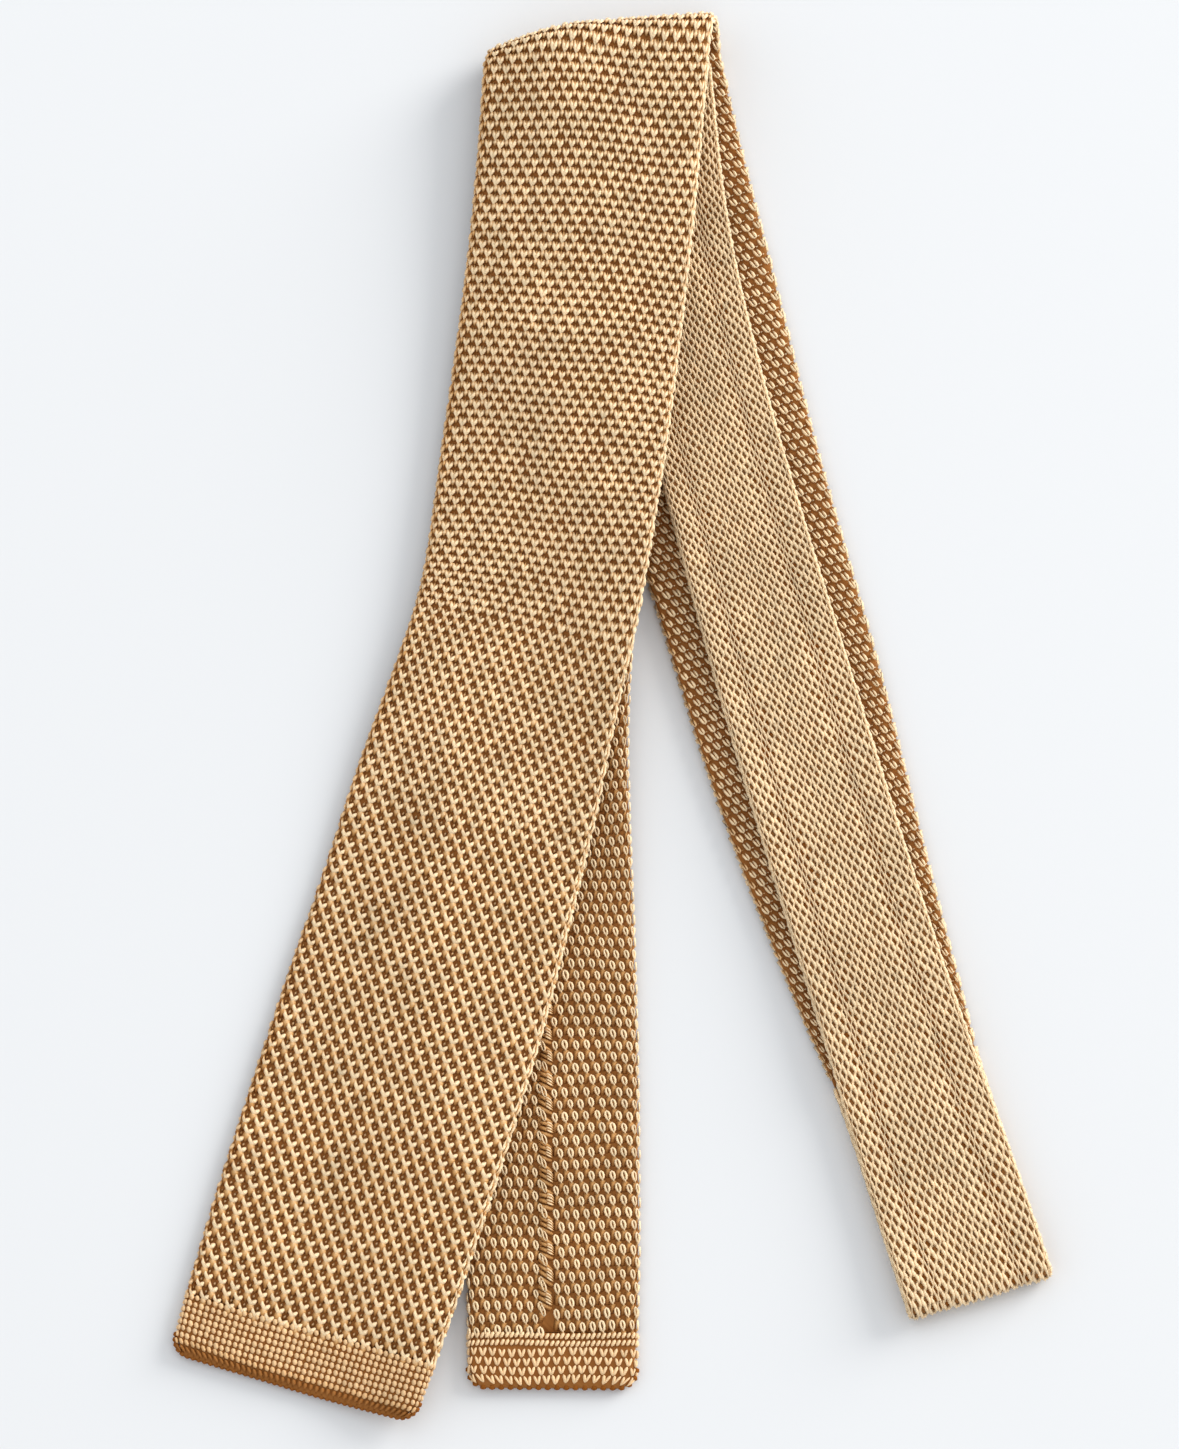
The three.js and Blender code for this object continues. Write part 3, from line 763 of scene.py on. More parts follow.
def ring_lengths(form, start, end):
    """Lengths of the sections, closer together round the folds."""
    lengths = [start]
    while lengths[-1] < end - 1e-9:
        near = min(abs(lengths[-1] - run.start) for run in form.runs[1:])
        at = lengths[-1] + (FOLD_STEP if near < FOLD_NEAR else RING_STEP)
        lengths.append(min(at, end))
    if len(lengths) > 2 and lengths[-1] - lengths[-2] < RING_STEP / 3:
        lengths.pop(-2)
    return np.array(lengths)


def backing(name, form, start, end, relief, material, closed_end=None, creases=False):
    """The backing of the knit: a hollow flattened tube that lies just under its stitches."""
    lengths = ring_lengths(form, start, end)
    flat, turn, side = ring_outline()
    count = len(flat)
    half_width, radius = form.section(lengths)
    sizes = form.sizes
    slot_radius = sizes.slot_height / 2
    grids = []
    outer = (half_width - min(relief, SIDE_RELIEF), radius - relief)
    inner = (half_width - sizes.edge_wall, slot_radius + 0 * radius)
    for reach, thick in (outer, inner):
        straight = (reach - thick)[:, None]
        across = flat[None, :] * straight + side[None, :] * thick[:, None] * np.sin(turn)[None, :]
        out = thick[:, None] * np.cos(turn)[None, :]
        if creases:
            on_front = (turn < 0.1)[None, :] & (thick > slot_radius + 1e-6)[:, None]
            dip = crease_dip(np.abs(across), (half_width - radius)[:, None])
            out = out - np.where(on_front, dip, 0.0)
        grids.append((across, out))
    corners = []
    rises = []
    pocket = 0
    if closed_end is not None:
        pocket = max(1, int(np.searchsorted(lengths - start, sizes.edge_wall)))
    first = pocket if closed_end == "start" else 0
    inner_rows = slice(first, len(lengths) - pocket + first)
    outer_count = len(lengths)
    for index, (across, out) in enumerate(grids):
        rows = slice(0, None) if index == 0 else inner_rows
        long = np.repeat(lengths[rows], count)
        corners.append(form.points(long, across[rows].ravel(), out[rows].ravel()))
        # Painted shade: the backing takes a deep tone and the inside of the tube the deepest
        rises.append(np.full(len(long), BACKING_SHADE_TONE if index == 0 else 0.0))
    inner_count = len(lengths[inner_rows])
    first_inner = outer_count * count
    loops, uv = [], []

    def quad(a, b, c, d, place):
        loops.extend((a, b, c, d))
        uv.extend(place)

    def band(first, rings, facing):
        for i in range(rings - 1):
            for k in range(count):
                n = (k + 1) % count
                a, b = first + i * count + k, first + i * count + n
                c, d = b + count, a + count
                place = [(k / 2, i), (k / 2 + 0.5, i), (k / 2 + 0.5, i + 1), (k / 2, i + 1)]
                quad(*((a, b, c, d) if facing else (d, c, b, a)), place)

    def lid(first, towards_end):
        half = RING_FLATS + 1 + len(RING_TURNS)
        turns = len(RING_TURNS)
        order = [(-1 - j) % count for j in range(turns // 2)][::-1] + list(range(RING_FLATS + 1))
        order += [RING_FLATS + 1 + j for j in range(turns // 2)]
        mirror = [(RING_FLATS + half - k) % count for k in order]
        for (a, b), (c, d) in zip(zip(order, order[1:]), zip(mirror, mirror[1:])):
            corner = [first + k for k in (a, b, d, c)]
            quad(*(corner[::-1] if not towards_end else corner), [(0, 0), (1, 0), (1, 1), (0, 1)])

    def rim(outer_first, inner_first, towards_end):
        for k in range(count):
            n = (k + 1) % count
            corner = (outer_first + k, outer_first + n, inner_first + n, inner_first + k)
            quad(*(corner if towards_end else corner[::-1]), [(0, 0), (1, 0), (1, 1), (0, 1)])

    band(0, outer_count, True)
    band(first_inner, inner_count, False)
    last_outer, last_inner = (outer_count - 1) * count, first_inner + (inner_count - 1) * count
    if closed_end == "start":
        lid(0, False)
        lid(first_inner, True)
    else:
        rim(0, first_inner, False)
    if closed_end == "end":
        lid(last_outer, True)
        lid(last_inner, False)
    else:
        rim(last_outer, last_inner, True)
    rise = np.concatenate(rises)
    totals = np.full(len(loops) // 4, 4)
    return make_piece(name, np.vstack(corners), loops, totals, uv, rise, np.zeros(len(rise)), material)


def cloth_area(form, start, end, width):
    """Area of both walls between two lengths, at most that of a flat piece with the full width."""
    length = end - start
    area = float(4 * form.section(np.linspace(start, end, 400))[0].mean() * length)
    return min(area, width * length)


FORMS = {}


def tie_form():
    """The form for the sizes that are set, worked out once."""
    sizes = bpy.context.scene.tie_sizes
    key = tuple(getattr(sizes, name) for name in TieSizes.__annotations__)
    if key not in FORMS:
        FORMS[key] = TieForm(sizes)
    return FORMS[key]


def blade_cloth(form):
    origin = form.sizes.blade_hem_height + form.join_gap + FIRST_ROW
    return Cloth(form, bpy.context.scene.tie_gauge.blade_wales, BLADE_PITCHES, form.blade, origin=origin)


def neck_cloth(form):
    return Cloth(form, bpy.context.scene.tie_gauge.neck_wales, NECK_PITCHES, form.neck, creases=True)


def tail_cloth(form):
    return Cloth(form, bpy.context.scene.tie_gauge.tail_wales, TAIL_PITCHES, form.tail)


def between(closed, opened, spread):
    """Numbers part of the way from those of a closed stitch to those of an open one."""
    return np.array(closed) * (1 - spread) + np.array(opened) * spread


def front_stitch(spread):
    """A fork of yarn under a pit, the ridge that runs down from the fork and the knot in the pit.
    Where the knit is stretched, spread is 1: the fork's left arm comes from the fork up to its left,
    and its right arm is a short knuckle. Where it is slack, spread is 0: both arms go up alike, as
    in a narrow V."""
    slack_arms = [
        (-0.92, 1.3, -0.88), (-0.52, 0.2, -0.52), (-0.04, -1.0, -0.43),
        (0.47, 0.1, -0.5), (0.84, 1.18, -0.9),
    ]
    wide_arms = [
        (-1.45, 1.0, -0.85), (-0.88, -0.3, -0.52), (0.0, -1.22, -0.44),
        (0.58, -0.72, -0.4), (1.0, -0.1, -0.66),
    ]
    fork = yarn(
        between(slack_arms, wide_arms, spread),
        between([0.44, 0.57, 0.58, 0.57, 0.42], [0.32, 0.46, 0.6, 0.6, 0.36], spread),
        between([0.42, 0.8, 1.0, 0.88, 0.45], [0.4, 0.8, 0.98, 1.0, 0.7], spread),
        flat=0.85,
    )
    ridge = yarn(
        between([(0.0, -1.1, -0.8), (0.0, -1.85, -0.62), (0.0, -2.65, -1.1)],
                [(0.0, -1.0, -0.66), (0.03, -2.0, -0.74), (0.0, -3.3, -1.22)], spread),
        between([0.5, 0.6, 0.36], [0.7, 1.02, 0.55], spread),
        between([0.44, 0.72, 0.25], [0.58, 0.38, 0.05], spread),
        flat=0.65,
    )
    knot = yarn(
        between([(0.0, 1.7, -1.34), (0.0, 0.85, -1.0), (0.0, -0.4, -0.58)],
                [(0.1, 1.2, -1.34), (0.05, 0.72, -0.9), (0.0, 0.2, -1.3)], spread),
        between([0.5, 0.66, 0.4], [0.2, 0.36, 0.2], spread),
        between([0.02, 0.3, 0.74], [0.05, 0.66, 0.1], spread),
        sides=3,
    )
    return fork + ridge + knot


def plain_fork(radius):
    """The same stitch with few faces, where it lies on the floor or inside the stack."""
    points = [(-1.5, 1.0, -0.8), (0.0, -1.3, -0.5), (0.95, -0.2, -0.6)]
    return yarn(points, np.array([0.7, 1.2, 0.8]) * radius, 0.75, sides=3)


def back_stitch():
    """A long loop with a slit in its middle and a pointed foot, and the yarn under its foot."""
    turn = np.linspace(0.0, 2 * math.pi, 8, endpoint=False)
    foot = np.maximum(np.sin(turn), 0.0)
    along = 0.96 * np.sin(turn) + 0.12 * foot
    ring_points = np.column_stack([
        0.5 * np.cos(turn) * (1 - 0.15 * foot) - 0.22 * along,
        along,
        -0.36 - 0.12 * np.sin(turn) ** 2,
    ])
    # The loop is painted darker towards its foot, and the tip and the yarn under the foot darker still:
    # painted shade
    loop = yarn(ring_points, 0.4, 1.08 - 0.14 * foot, sides=3, ring=True, flat=0.7)
    tip = yarn([(-0.22, 0.95, -0.5), (-0.42, 1.85, -1.0)], [0.42, 0.16], [0.85, 0.3], sides=3)
    body = yarn([(-0.35, 1.3, -1.05), (0.15, 3.6, -1.2)], [0.8, 0.66], [0.32, 0.02], flat=0.5)
    return loop + tip + body


def open_loop():
    """A long loop whose arms lie side by side, with a knot beside its foot."""
    half = [(0.44, -1.3, -0.6), (0.46, -0.4, -0.22), (0.38, 0.7, -0.18)]
    other = [(-x, y, z) for x, y, z in reversed(half)]
    points = np.array(half + [(0.0, 1.12, -0.32)] + other)
    points[:, 0] -= 0.28 * points[:, 1]
    thick = [0.32, 0.42, 0.43, 0.44, 0.43, 0.42, 0.32]
    knot = yarn([(-1.5, 0.5, -1.2), (-1.25, 0.62, -0.6)], [0.2, 0.3], [0.2, 0.85], sides=3)
    return yarn(points, thick, [0.7, 1.1, 1.2, 1.1, 1.2, 1.1, 0.7], sides=3, flat=0.8) + knot


def plain_loop():
    """The back stitch with few faces."""
    return yarn([(0.0, -0.9, -0.7), (0.0, 0.0, -0.45), (0.0, 0.95, -0.7)], [0.3, 0.55, 0.3], 0.75, sides=3)


def net_stitch(radius, plain=False):
    """Two wavy yarns that meet: the place between two slits of the fine knit. Each yarn goes on
    to meet the next one on its other side, high where it runs down to the right."""
    left = [(-0.54, 1.02, -0.56), (-0.35, 0.34, -0.48), (-0.2, -0.34, -0.62), (-0.57, -1.02, -0.76)]
    right = [(0.57, 1.02, -0.76), (0.2, 0.34, -0.66), (0.35, -0.34, -0.48), (0.54, -1.02, -0.56)]
    tones = [[0.84, 0.9, 0.78, 0.66], [0.66, 0.76, 0.9, 0.84]]
    if plain:
        left, right = (points[::3] for points in (left, right))
        tones = [values[::3] for values in tones]
    right = yarn(right, radius, tones[1], sides=3, flat=0.8)
    return yarn(left, radius, tones[0], sides=3, flat=0.8) + right


def edge_cord(radius):
    """Two bowed yarns along a rolled edge, two rows long, with a slit between them."""
    outer = [(-1.1, 2.5, -1.3), (-0.1, 1.4, -0.5), (0.3, 0.0, -0.3), (0.0, -1.3, -0.5), (-1.1, -2.5, -1.3)]
    inner = [(-0.6, 1.9, -0.9), (-1.0, 1.0, -0.5), (-1.2, 0.0, -0.42), (-1.0, -1.0, -0.5), (-0.5, -1.9, -0.9)]
    thick = np.array([0.6, 0.95, 1.1, 0.95, 0.6]) * radius
    tones = [0.15, 0.62, 0.9, 0.62, 0.15]
    return yarn(outer, thick, tones) + yarn(inner, 0.75 * thick, tones)


def cord_places(cloth, start, end):
    """Wales and rows of the bowed yarns along the right edge."""
    rows = np.arange(math.ceil(cloth.row_at(start)), cloth.row_at(end), 2.0)
    return np.full(len(rows), cloth.wales / 4 - 0.28), rows


class TIE_OT_blade_hem(bpy.types.Operator):
    """Model the grainy hem band of the wide end"""

    bl_idname = "tie.blade_hem"
    bl_label = "Blade hem"

    def execute(self, context):
        form = tie_form()
        height = form.sizes.blade_hem_height
        hem = knit_material("hem_yarn", context.scene.tie_colours, light=0.05)
        rows = 9
        pitch = height / MM / (rows + 0.2)
        count = context.scene.tie_gauge.blade_hem_grains
        cloth = Cloth(form, count, ((0.0, pitch), (1.0, pitch)), form.blade)
        wales, found = lattice(cloth, 0.6 * MM, height + 0.8 * MM, cloth.wales / 2 - 0.01, staggered=False)
        shape = grain((0.0, 0.0, -0.46), 0.77, 0.63, 0.52, 0.53, lean=-28)
        # Painted shade on the rows of grains nearest the hem's free edge
        shade = -0.62 * (1 - smooth((found - cloth.row_at(0.0) - 0.5) / 2.0))
        grains = lay("blade_hem_grains", shape, cloth, (wales, found), (1.55, pitch), 11, hem, shade)
        ground = backing("blade_hem_ground", form, 0.4 * MM, height, 0.75 * MM, hem, "start")
        rim = rim_beads("blade_hem_rim", form, 0.0, 1.5 * MM, hem)
        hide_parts("blade_hem")
        return {"FINISHED"}


def rim_beads(name, form, end, spacing, material):
    """Beads of yarn along the free edge of a hem and round its corners."""
    corner = form.sizes.hem_corner
    towards = 1 if end == 0.0 else -1
    half_width = float(form.section(np.array([end + towards * corner]))[0][0])
    straight = half_width - corner
    half = straight + math.pi / 2 * corner
    count = int(round(2 * half / spacing))
    path = np.linspace(-half, half, count)
    away = np.abs(path)
    angle = np.clip((away - straight) / corner, 0.0, math.pi / 2)
    across = np.sign(path) * (np.minimum(away, straight) + corner * np.sin(angle))
    depth = corner * (1 - np.cos(angle))
    # The rim's beads are painted in the deepest shade
    bead = grain((0.0, 0.0, 0.0), 0.7, 0.85, 0.8, -0.05)
    tint = np.random.default_rng(5).normal(0.0, 1.0, count)
    inset = 0.55 * MM
    length = end + towards * (depth + inset * np.cos(angle))
    across = across - np.sign(path) * inset * np.sin(angle)
    x, y, z = bead.corners.T
    corners = form.points(
        (length[:, None] + y[None, :]).ravel(),
        (across[:, None] + x[None, :]).ravel(),
        np.tile(z, count),
    )
    return make_copies(name, bead, corners, tint, material)


class TIE_OT_wide_blade(bpy.types.Operator):
    """Model the coarse knit of the wide end, round the top fold and down to the neck"""

    bl_idname = "tie.wide_blade"
    bl_label = "Wide blade"

    def execute(self, context):
        form = tie_form()
        coarse = knit_material("coarse_yarn", context.scene.tie_colours)
        radius = context.scene.tie_gauge.coarse_yarn / MM
        cloth = blade_cloth(form)
        start, end = form.sizes.blade_hem_height + form.join_gap, form.fine_from
        last = end - 1.5 * MM
        fold_to = form.under.start + 14 * MM
        edge = cloth.wales / 4 + 0.7
        wales, rows = lattice(cloth, start + FIRST_ROW - 0.1 * MM, fold_to, edge)
        lengths = np.interp(rows, cloth.rows, cloth.lengths)
        for seed, (name, low, high, spread) in enumerate(BLADE_BANDS, 20):
            here = (lengths >= low * form.blade.length) & (lengths < high * form.blade.length)
            places = wales[here], rows[here]
            # Painted shade on the stitches along the blade's left edge
            shade = -0.35 * smooth(1.3 - cloth.wales / 4 - wales[here])
            lay(name, front_stitch(spread), cloth, places, FRONT_PITCH, seed, coarse, shade)
        places = lattice(cloth, fold_to, last, edge)
        lay("floor_side_stitches", plain_fork(radius), cloth, places, FRONT_PITCH, 23, coarse)
        back_span = cloth.wales / 4 - 0.6
        turned = form.under.start - 4 * MM
        places = lattice(cloth, start + 1.2 * MM, turned, back_span, cloth.wales / 2)
        lay("blade_back_loops", plain_loop(), cloth, places, BACK_PITCH, 24, coarse)
        wales, rows = lattice(cloth, turned, last, back_span, cloth.wales / 2)
        # Painted shade on the under run's loops along one rolled edge, where they lie in shadow
        shade = -0.6 * smooth((wales - 0.75 * cloth.wales + 1.7) / 0.9)
        places = wales, rows
        lay("under_run_loops", open_loop(), cloth, places, BACK_PITCH, 25, coarse, shade)
        places = cord_places(cloth, start, end)
        lay("blade_edge_cord", edge_cord(0.8 * radius), cloth, places, FRONT_PITCH, 26, coarse)
        ground = backing("wide_blade_ground", form, start, end, COARSE_RELIEF, coarse)
        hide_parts("wide_blade")
        width = 2 * form.sizes.blade_width
        cloth_area(form, start, end, width)
        return {"FINISHED"}


class TIE_OT_neck_band(bpy.types.Operator):
    """Model the fine net of the neck band"""

    bl_idname = "tie.neck_band"
    bl_label = "Neck band"

    def execute(self, context):
        form = tie_form()
        fine = knit_material("fine_yarn", context.scene.tie_colours, light=0.17)
        radius = context.scene.tie_gauge.fine_yarn / MM
        cloth = neck_cloth(form)
        start, end = form.fine_from + form.join_gap, form.fine_to
        back = cloth.wales / 2
        plain = net_stitch(radius, plain=True)
        show_from = form.neck.start - 6 * MM
        show_to = form.neck.start + form.neck.length - 8 * MM
        places = lattice(cloth, show_from, show_to, cloth.wales / 4 + 0.9)
        pieces = [lay("neck_front_net", net_stitch(radius), cloth, places, NET_PITCH, 31, fine)]
        places = lattice(cloth, show_from, show_to, cloth.wales / 4 - 0.9, back)
        pieces.append(lay("neck_back_net", plain, cloth, places, NET_PITCH, 32, fine))
        for name, low, high in (("neck_floor_net", start, show_from), ("neck_inner_net", show_to, end)):
            places = lattice(cloth, low + 1 * MM, high - 1 * MM, back - 0.01)
            pieces.append(lay(name, plain, cloth, places, NET_PITCH, 33, fine))
        ground = backing("neck_band_ground", form, start, end, FINE_RELIEF, fine, creases=True)
        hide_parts("neck_band")
        width = 2 * form.sizes.neck_width
        cloth_area(form, start, end, width)
        return {"FINISHED"}


class TIE_OT_tail_blade(bpy.types.Operator):
    """Model the coarse knit of the narrow end, which lies back face up"""

    bl_idname = "tie.tail_blade"
    bl_label = "Tail blade"

    def execute(self, context):
        form = tie_form()
        coarse = knit_material("coarse_yarn", context.scene.tie_colours)
        radius = context.scene.tie_gauge.coarse_yarn / MM
        cloth = tail_cloth(form)
        start = form.fine_to + form.join_gap
        end = form.length - form.sizes.tail_hem_height
        first = start + 1.2 * MM
        middle = cloth.wales / 2
        edge = cloth.wales / 4 + 0.9
        wales, rows = lattice(cloth, first, end - 0.4 * MM, edge, middle + FIRST_WALE)
        from_seam = wales - middle - SEAM_WALE
        beside = np.abs(from_seam) > 0.4
        rows = rows + 0.5 * (from_seam > 0)
        # Painted shade on the tail's loops along its right edge, where the key light falls on them
        shade = -0.25 * smooth(middle - cloth.wales / 4 + 0.9 - wales)[beside]
        places = wales[beside], rows[beside]
        pieces = [lay("tail_loops", back_stitch(), cloth, places, BACK_PITCH, 41, coarse, shade)]
        places = lattice(cloth, first, end - 1.0 * MM, cloth.wales / 4 - 0.9)
        pieces.append(lay("tail_front_stitches", plain_fork(radius), cloth, places, FRONT_PITCH, 42, coarse))
        ground = backing("tail_blade_ground", form, start, end, COARSE_RELIEF, coarse)
        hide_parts("tail_blade")
        width = 2 * form.sizes.tail_width
        cloth_area(form, start, end, width)
        return {"FINISHED"}


class TIE_OT_tail_hem(bpy.types.Operator):
    """Model the ribbed hem band of the narrow end"""

    bl_idname = "tie.tail_hem"
    bl_label = "Tail hem"

    def execute(self, context):
        form = tie_form()
        hem = knit_material("hem_yarn", context.scene.tie_colours, light=0.05)
        start = form.length - form.sizes.tail_hem_height + form.join_gap
        grains = context.scene.tie_gauge.tail_hem_grains
        count = 2 * grains
        rib, body = (
            Cloth(form, wales, ((0.0, pitch), (1.0, pitch)), form.tail)
            for wales, pitch in ((count, RIB_PITCH[1]), (grains, GRAIN_PITCH[1]))
        )
        ribs_at = [rib.row_at(start + place * MM) for place in (0.75, 2.65)]
        places = np.tile(np.arange(count) - grains, len(ribs_at)).astype(float), np.repeat(ribs_at, count)
        shape = grain((0.0, 0.0, -0.4), 0.85, 0.48, 0.5, 0.64, lean=28)
        pieces = [lay("tail_hem_ribs", shape, rib, places, RIB_PITCH, 51, hem)]
        first = body.row_at(start + 5.0 * MM)
        wales = [np.arange(grains) - grains / 2 + 0.5 * (row % 2) for row in range(4)]
        places = np.concatenate(wales), np.repeat(first + np.arange(4), grains)
        shape = grain((-0.42, 0.0, -0.5), 1.15, 0.44, 0.5, 0.6, lean=20)
        shape += grain((0.42, 0.0, -0.5), 1.15, 0.44, 0.5, 0.6, lean=-20)
        pieces.append(lay("tail_hem_grains", shape, body, places, GRAIN_PITCH, 52, hem))
        ground = backing("tail_hem_ground", form, start, form.length - 0.4 * MM, 0.8 * MM, hem, "end")
        pieces.append(rim_beads("tail_hem_rim", form, form.length, 2.2 * MM, hem))
        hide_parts("tail_hem")
        return {"FINISHED"}


def seam_stack():
    """Short slanting arcs of thread, one under the other, on one side of the seam, and the turns of
    yarn that lie under them."""
    stack = yarn([(1.9, -3.4, -0.75), (0.3, -2.4, -0.5), (-1.3, -1.4, -0.8)], 0.5, [0.1, 0.4, 0.1])
    for y in (-1.3, 0.1, 1.5):
        stack += yarn([(1.9, y - 0.8, -0.75), (0.3, y, -0.5), (-1.3, y + 0.8, -0.8)], 0.5, [0.1, 0.4, 0.1])
    for spread in (-1.0, -0.33, 0.33, 1.0):
        stack += yarn(
            [
                (0.25, 0.9 * spread - 0.7, -0.3),
                (-0.2, 1.1 * spread - 0.35, 0.3),
                (-0.95, 1.1 * spread + 0.1, 0.3),
                (-1.5, 0.8 * spread + 0.55, -0.3),
            ],
            [0.14, 0.2, 0.2, 0.14],
            [0.3, 0.74, 0.74, 0.3],
        )
    return stack


def seam_eye(x, y):
    """A long narrow loop on the other side of the seam."""
    turn = np.linspace(0.0, 2 * math.pi, 8, endpoint=False)
    along = 1.3 * np.sin(turn)
    across = x + 0.45 * np.cos(turn) - 0.3 * along
    points = np.column_stack([across, y + along, 0.15 - 0.2 * np.sin(turn) ** 2])
    return yarn(points, 0.27, 0.84, sides=3, ring=True)


class TIE_OT_tail_seam(bpy.types.Operator):
    """Model the overcast seam down the middle of the tail's back"""

    bl_idname = "tie.tail_seam"
    bl_label = "Tail seam"

    def execute(self, context):
        form = tie_form()
        thread = knit_material("seam_yarn", context.scene.tie_colours)
        start = form.fine_to + form.join_blend
        end = form.length - form.sizes.tail_hem_height
        cloth = tail_cloth(form)
        random = np.random.default_rng(61)
        rows = np.arange(2 * math.ceil(cloth.row_at(start) / 2), cloth.row_at(end) - 0.8, 2.0)
        count = len(rows)
        lengths = np.interp(rows + random.normal(0.0, 0.05, count), cloth.rows, cloth.lengths)
        shape = seam_stack() + seam_eye(0.75, 2.9)
        x, y, z = shape.corners.T
        swell = 1 + random.normal(0.0, 0.06, count)[:, None]
        slant = random.normal(0.0, 0.1, count)[:, None]
        offset = -1.5 * MM + random.normal(0.0, 0.12, count)[:, None] * MM
        long = (lengths[:, None] + (y[None, :] + slant * x[None, :]) * swell).ravel()
        radius = form.section(long)[1]
        across = (offset - x[None, :] * swell).ravel()
        corners = form.points(long, across, -(radius + np.tile(z, count)))
        tint = random.normal(0.0, 1.0, count)
        seam = make_copies("tail_seam_stitches", shape, corners, tint, thread)
        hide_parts("tail_seam")
        return {"FINISHED"}


def add_node(tree, kind, place, **settings):
    node = tree.nodes.new(kind)
    node.location = place
    for name, value in settings.items():
        setattr(node, name, value)
    return node


def knit_material(name, colours, light=0.0):
    """Silky yarn with fine twisted fibres, coloured by its rise tone: pale on top of the knit and brown deep
    in it, which is painted shade. light moves the half-way colour down, so less of the yarn takes the painted
    shade.
    """
    made = bpy.data.materials.get(name)
    if made:
        return made
    material = bpy.data.materials.new(name)
    material.use_nodes = True
    tree = material.node_tree
    tree.nodes.clear()
    link = tree.links.new
    # The rise tone runs through a ramp from the deep colour to the high one: painted shade in the knit's
    # hollows
    rise = add_node(tree, "ShaderNodeAttribute", (-1100, 200), attribute_name="rise")
    ramp = add_node(tree, "ShaderNodeValToRGB", (-850, 200))
    stops = ramp.color_ramp.elements
    stops[0].position, stops[0].color = 0.05, (*colours.deep, 1)
    stops[1].position, stops[1].color = 0.9, (*colours.high, 1)
    middle = stops.new(0.45 - light)
    middle.color = (*colours.middle, 1)
    link(rise.outputs["Fac"], ramp.inputs["Fac"])

    tint = add_node(tree, "ShaderNodeAttribute", (-1100, -50), attribute_name="tint")
    place = add_node(tree, "ShaderNodeTexCoord", (-1350, -300))
    cloud = add_node(tree, "ShaderNodeTexNoise", (-1100, -300))
    cloud.inputs["Scale"].default_value = 60
    cloud.inputs["Detail"].default_value = 2
    link(place.outputs["Object"], cloud.inputs["Vector"])
    shade = add_node(tree, "ShaderNodeMath", (-850, -100), operation="MULTIPLY_ADD")
    shade.inputs[1].default_value = 0.05
    shade.inputs[2].default_value = 0.82
    link(tint.outputs["Fac"], shade.inputs[0])
    both = add_node(tree, "ShaderNodeMath", (-650, -150), operation="MULTIPLY_ADD")
    both.inputs[1].default_value = 0.3
    link(cloud.outputs["Fac"], both.inputs[0])
    link(shade.outputs[0], both.inputs[2])
    colour = add_node(tree, "ShaderNodeHueSaturation", (-450, 150))
    link(ramp.outputs["Color"], colour.inputs["Color"])
    link(both.outputs[0], colour.inputs["Value"])

    fibres = add_node(tree, "ShaderNodeUVMap", (-1350, -600), uv_map="yarn")
    twist = add_node(tree, "ShaderNodeMapping", (-1100, -600))
    twist.inputs["Scale"].default_value = (1.0, 0.7, 1.0)
    link(fibres.outputs["UV"], twist.inputs["Vector"])
    wave = add_node(tree, "ShaderNodeTexWave", (-850, -600), wave_type="BANDS", bands_direction="DIAGONAL")
    wave.inputs["Scale"].default_value = 2.0
    wave.inputs["Distortion"].default_value = 1.5
    link(twist.outputs["Vector"], wave.inputs["Vector"])
    bump = add_node(tree, "ShaderNodeBump", (-450, -500))
    bump.inputs["Strength"].default_value = 0.35
    bump.inputs["Distance"].default_value = 0.0002
    link(wave.outputs["Fac"], bump.inputs["Height"])

    shader = add_node(tree, "ShaderNodeBsdfPrincipled", (-150, 100))
    shader.inputs["Roughness"].default_value = 0.38
    # The gloss follows the painted shade: the yarn painted deep reflects less
    gloss = add_node(tree, "ShaderNodeMath", (-450, -250), operation="MULTIPLY")
    gloss.inputs[1].default_value = 0.42
    link(rise.outputs["Fac"], gloss.inputs[0])
    link(gloss.outputs[0], shader.inputs["Specular IOR Level"])
    link(colour.outputs["Color"], shader.inputs["Base Color"])
    link(bump.outputs["Normal"], shader.inputs["Normal"])
    output = add_node(tree, "ShaderNodeOutputMaterial", (150, 100))
    link(shader.outputs["BSDF"], output.inputs["Surface"])
    return material


def floor_material(colour):
    material = bpy.data.materials.new("floor_paper")
    material.use_nodes = True
    shader = material.node_tree.nodes["Principled BSDF"]
    shader.inputs["Base Color"].default_value = (*colour, 1)
    shader.inputs["Roughness"].default_value = 0.9
    return material


def area_light(name, place, target, size, power, colour=(1, 1, 1)):
    data = bpy.data.lights.new(name, "AREA")
    data.shape = "DISK"
    data.size = size
    data.energy = power
    data.color = colour
    lamp = bpy.data.objects.new(name, data)
    lamp.location = place
    lamp.rotation_euler = (Vector(target) - Vector(place)).to_track_quat("-Z", "Y").to_euler()
    bpy.context.scene.collection.objects.link(lamp)
    return lamp


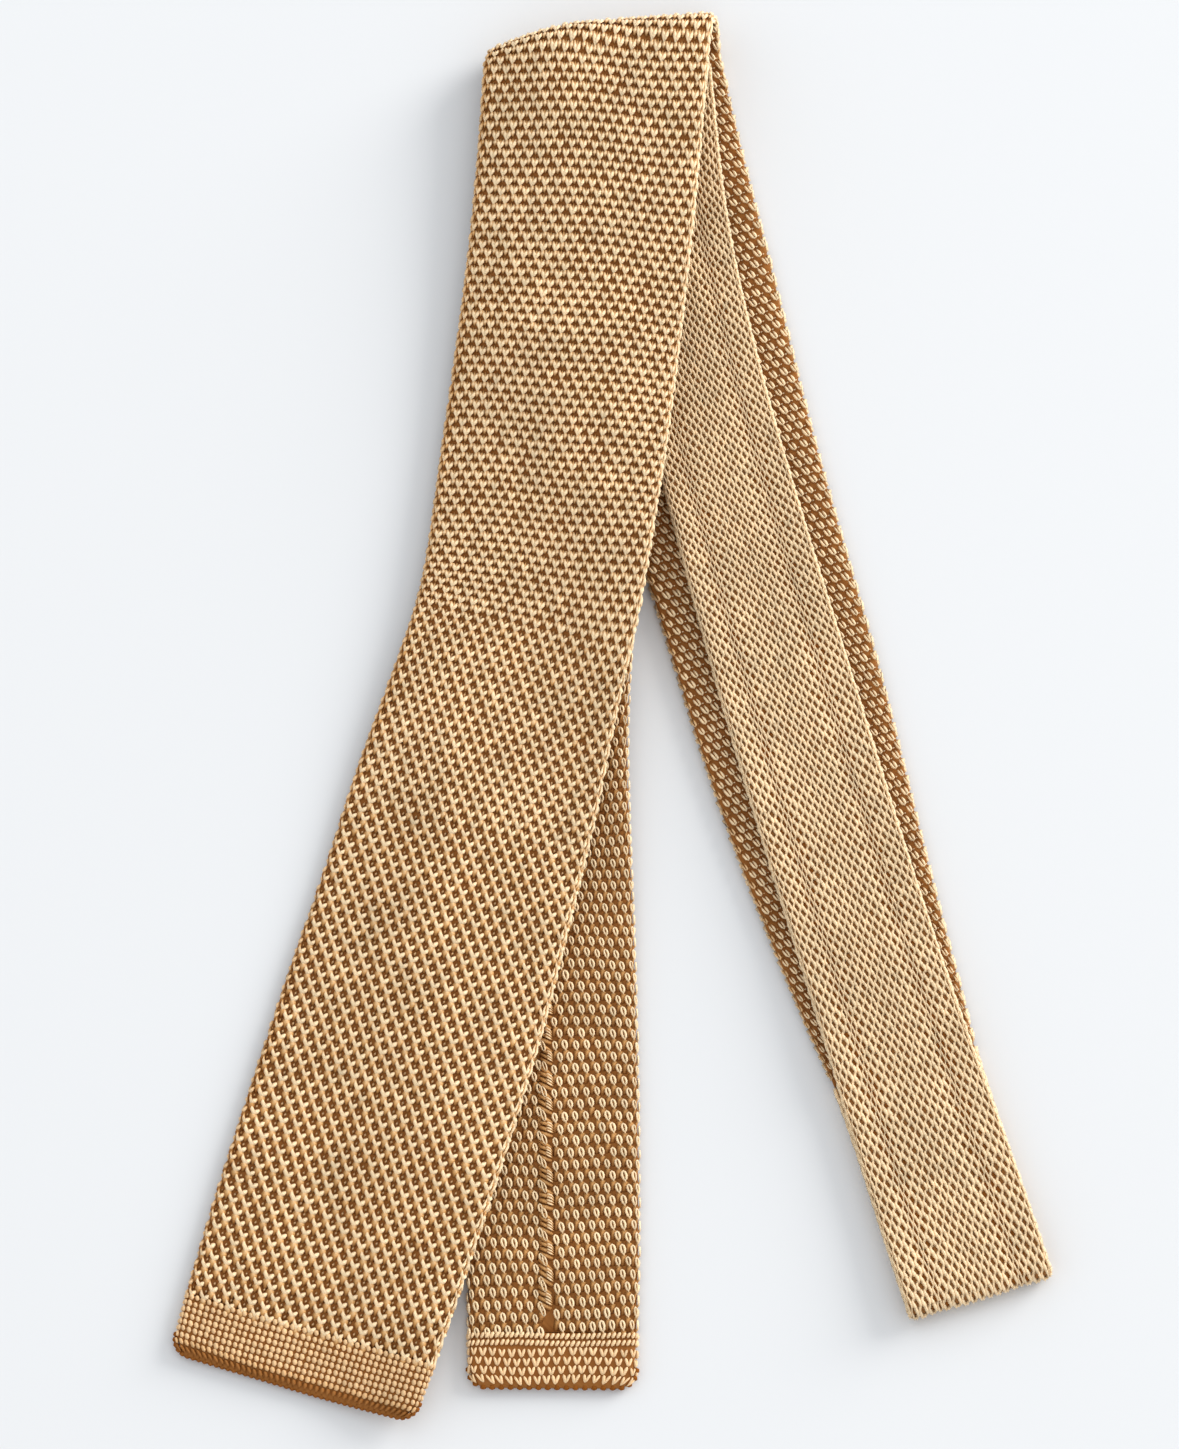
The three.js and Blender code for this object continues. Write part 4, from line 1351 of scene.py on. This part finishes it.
class TIE_OT_stage(bpy.types.Operator):
    """Set the camera, the pale floor and the soft light"""

    bl_idname = "tie.stage"
    bl_label = "Stage"

    def execute(self, context):
        scene = context.scene
        stage = scene.tie_stage
        aim = Vector((stage.aim_x, stage.aim_y, 0.006))
        back = Vector((0.0, -math.cos(stage.elevation), math.sin(stage.elevation)))
        data = bpy.data.cameras.new("camera")
        data.sensor_width = 36.0
        data.lens = data.sensor_width * stage.distance / stage.view_height
        data.clip_start = 0.1
        data.clip_end = 20.0
        camera = bpy.data.objects.new("camera", data)
        camera.location = aim + back * stage.distance
        camera.rotation_euler = (-back).to_track_quat("-Z", "Y").to_euler()
        scene.collection.objects.link(camera)
        scene.camera = camera

        bpy.ops.object.select_all(action="DESELECT")
        bpy.ops.mesh.primitive_plane_add(size=6.0, location=(0.0, 0.0, 0.0))
        floor = context.active_object
        floor.name = "floor"
        floor.data.materials.append(floor_material(scene.tie_colours.floor))

        area_light("key", (4.3, 2.8, 1.75), aim, 3.4, stage.key_power, (1.0, 0.99, 0.97))
        world = bpy.data.worlds.new("studio")
        world.use_nodes = True
        world.node_tree.nodes["Background"].inputs["Color"].default_value = (0.95, 0.975, 1.0, 1)
        world.node_tree.nodes["Background"].inputs["Strength"].default_value = stage.sky
        scene.world = world
        scene.view_settings.view_transform = "Standard"
        return {"FINISHED"}


class TIE_PT_panel(bpy.types.Panel):
    """Buttons for each piece of the tie"""

    bl_label = "Knit tie"
    bl_idname = "TIE_PT_panel"
    bl_space_type = "VIEW_3D"
    bl_region_type = "UI"
    bl_category = "Knit tie"

    def draw(self, context):
        for operator in OPERATORS:
            self.layout.operator(operator.bl_idname)
        for group, kind in GROUPS.items():
            box = self.layout.box()
            for name in kind.__annotations__:
                box.prop(getattr(context.scene, group), name)


GROUPS = {"tie_sizes": TieSizes, "tie_gauge": TieGauge, "tie_colours": TieColours, "tie_stage": TieStage}
OPERATORS = (
    TIE_OT_stage,
    TIE_OT_blade_hem,
    TIE_OT_wide_blade,
    TIE_OT_neck_band,
    TIE_OT_tail_blade,
    TIE_OT_tail_hem,
    TIE_OT_tail_seam,
)


def register():
    for kind in (*GROUPS.values(), *OPERATORS, TIE_PT_panel):
        bpy.utils.register_class(kind)
    for group, kind in GROUPS.items():
        setattr(bpy.types.Scene, group, PointerProperty(type=kind))


def unregister():
    for group in GROUPS:
        delattr(bpy.types.Scene, group)
    for kind in reversed((*GROUPS.values(), *OPERATORS, TIE_PT_panel)):
        bpy.utils.unregister_class(kind)


def main():
    register()
    bpy.ops.tie.stage()
    bpy.ops.tie.blade_hem()
    bpy.ops.tie.wide_blade()
    bpy.ops.tie.neck_band()
    bpy.ops.tie.tail_blade()
    bpy.ops.tie.tail_hem()
    bpy.ops.tie.tail_seam()


if __name__ == "__main__":
    main()
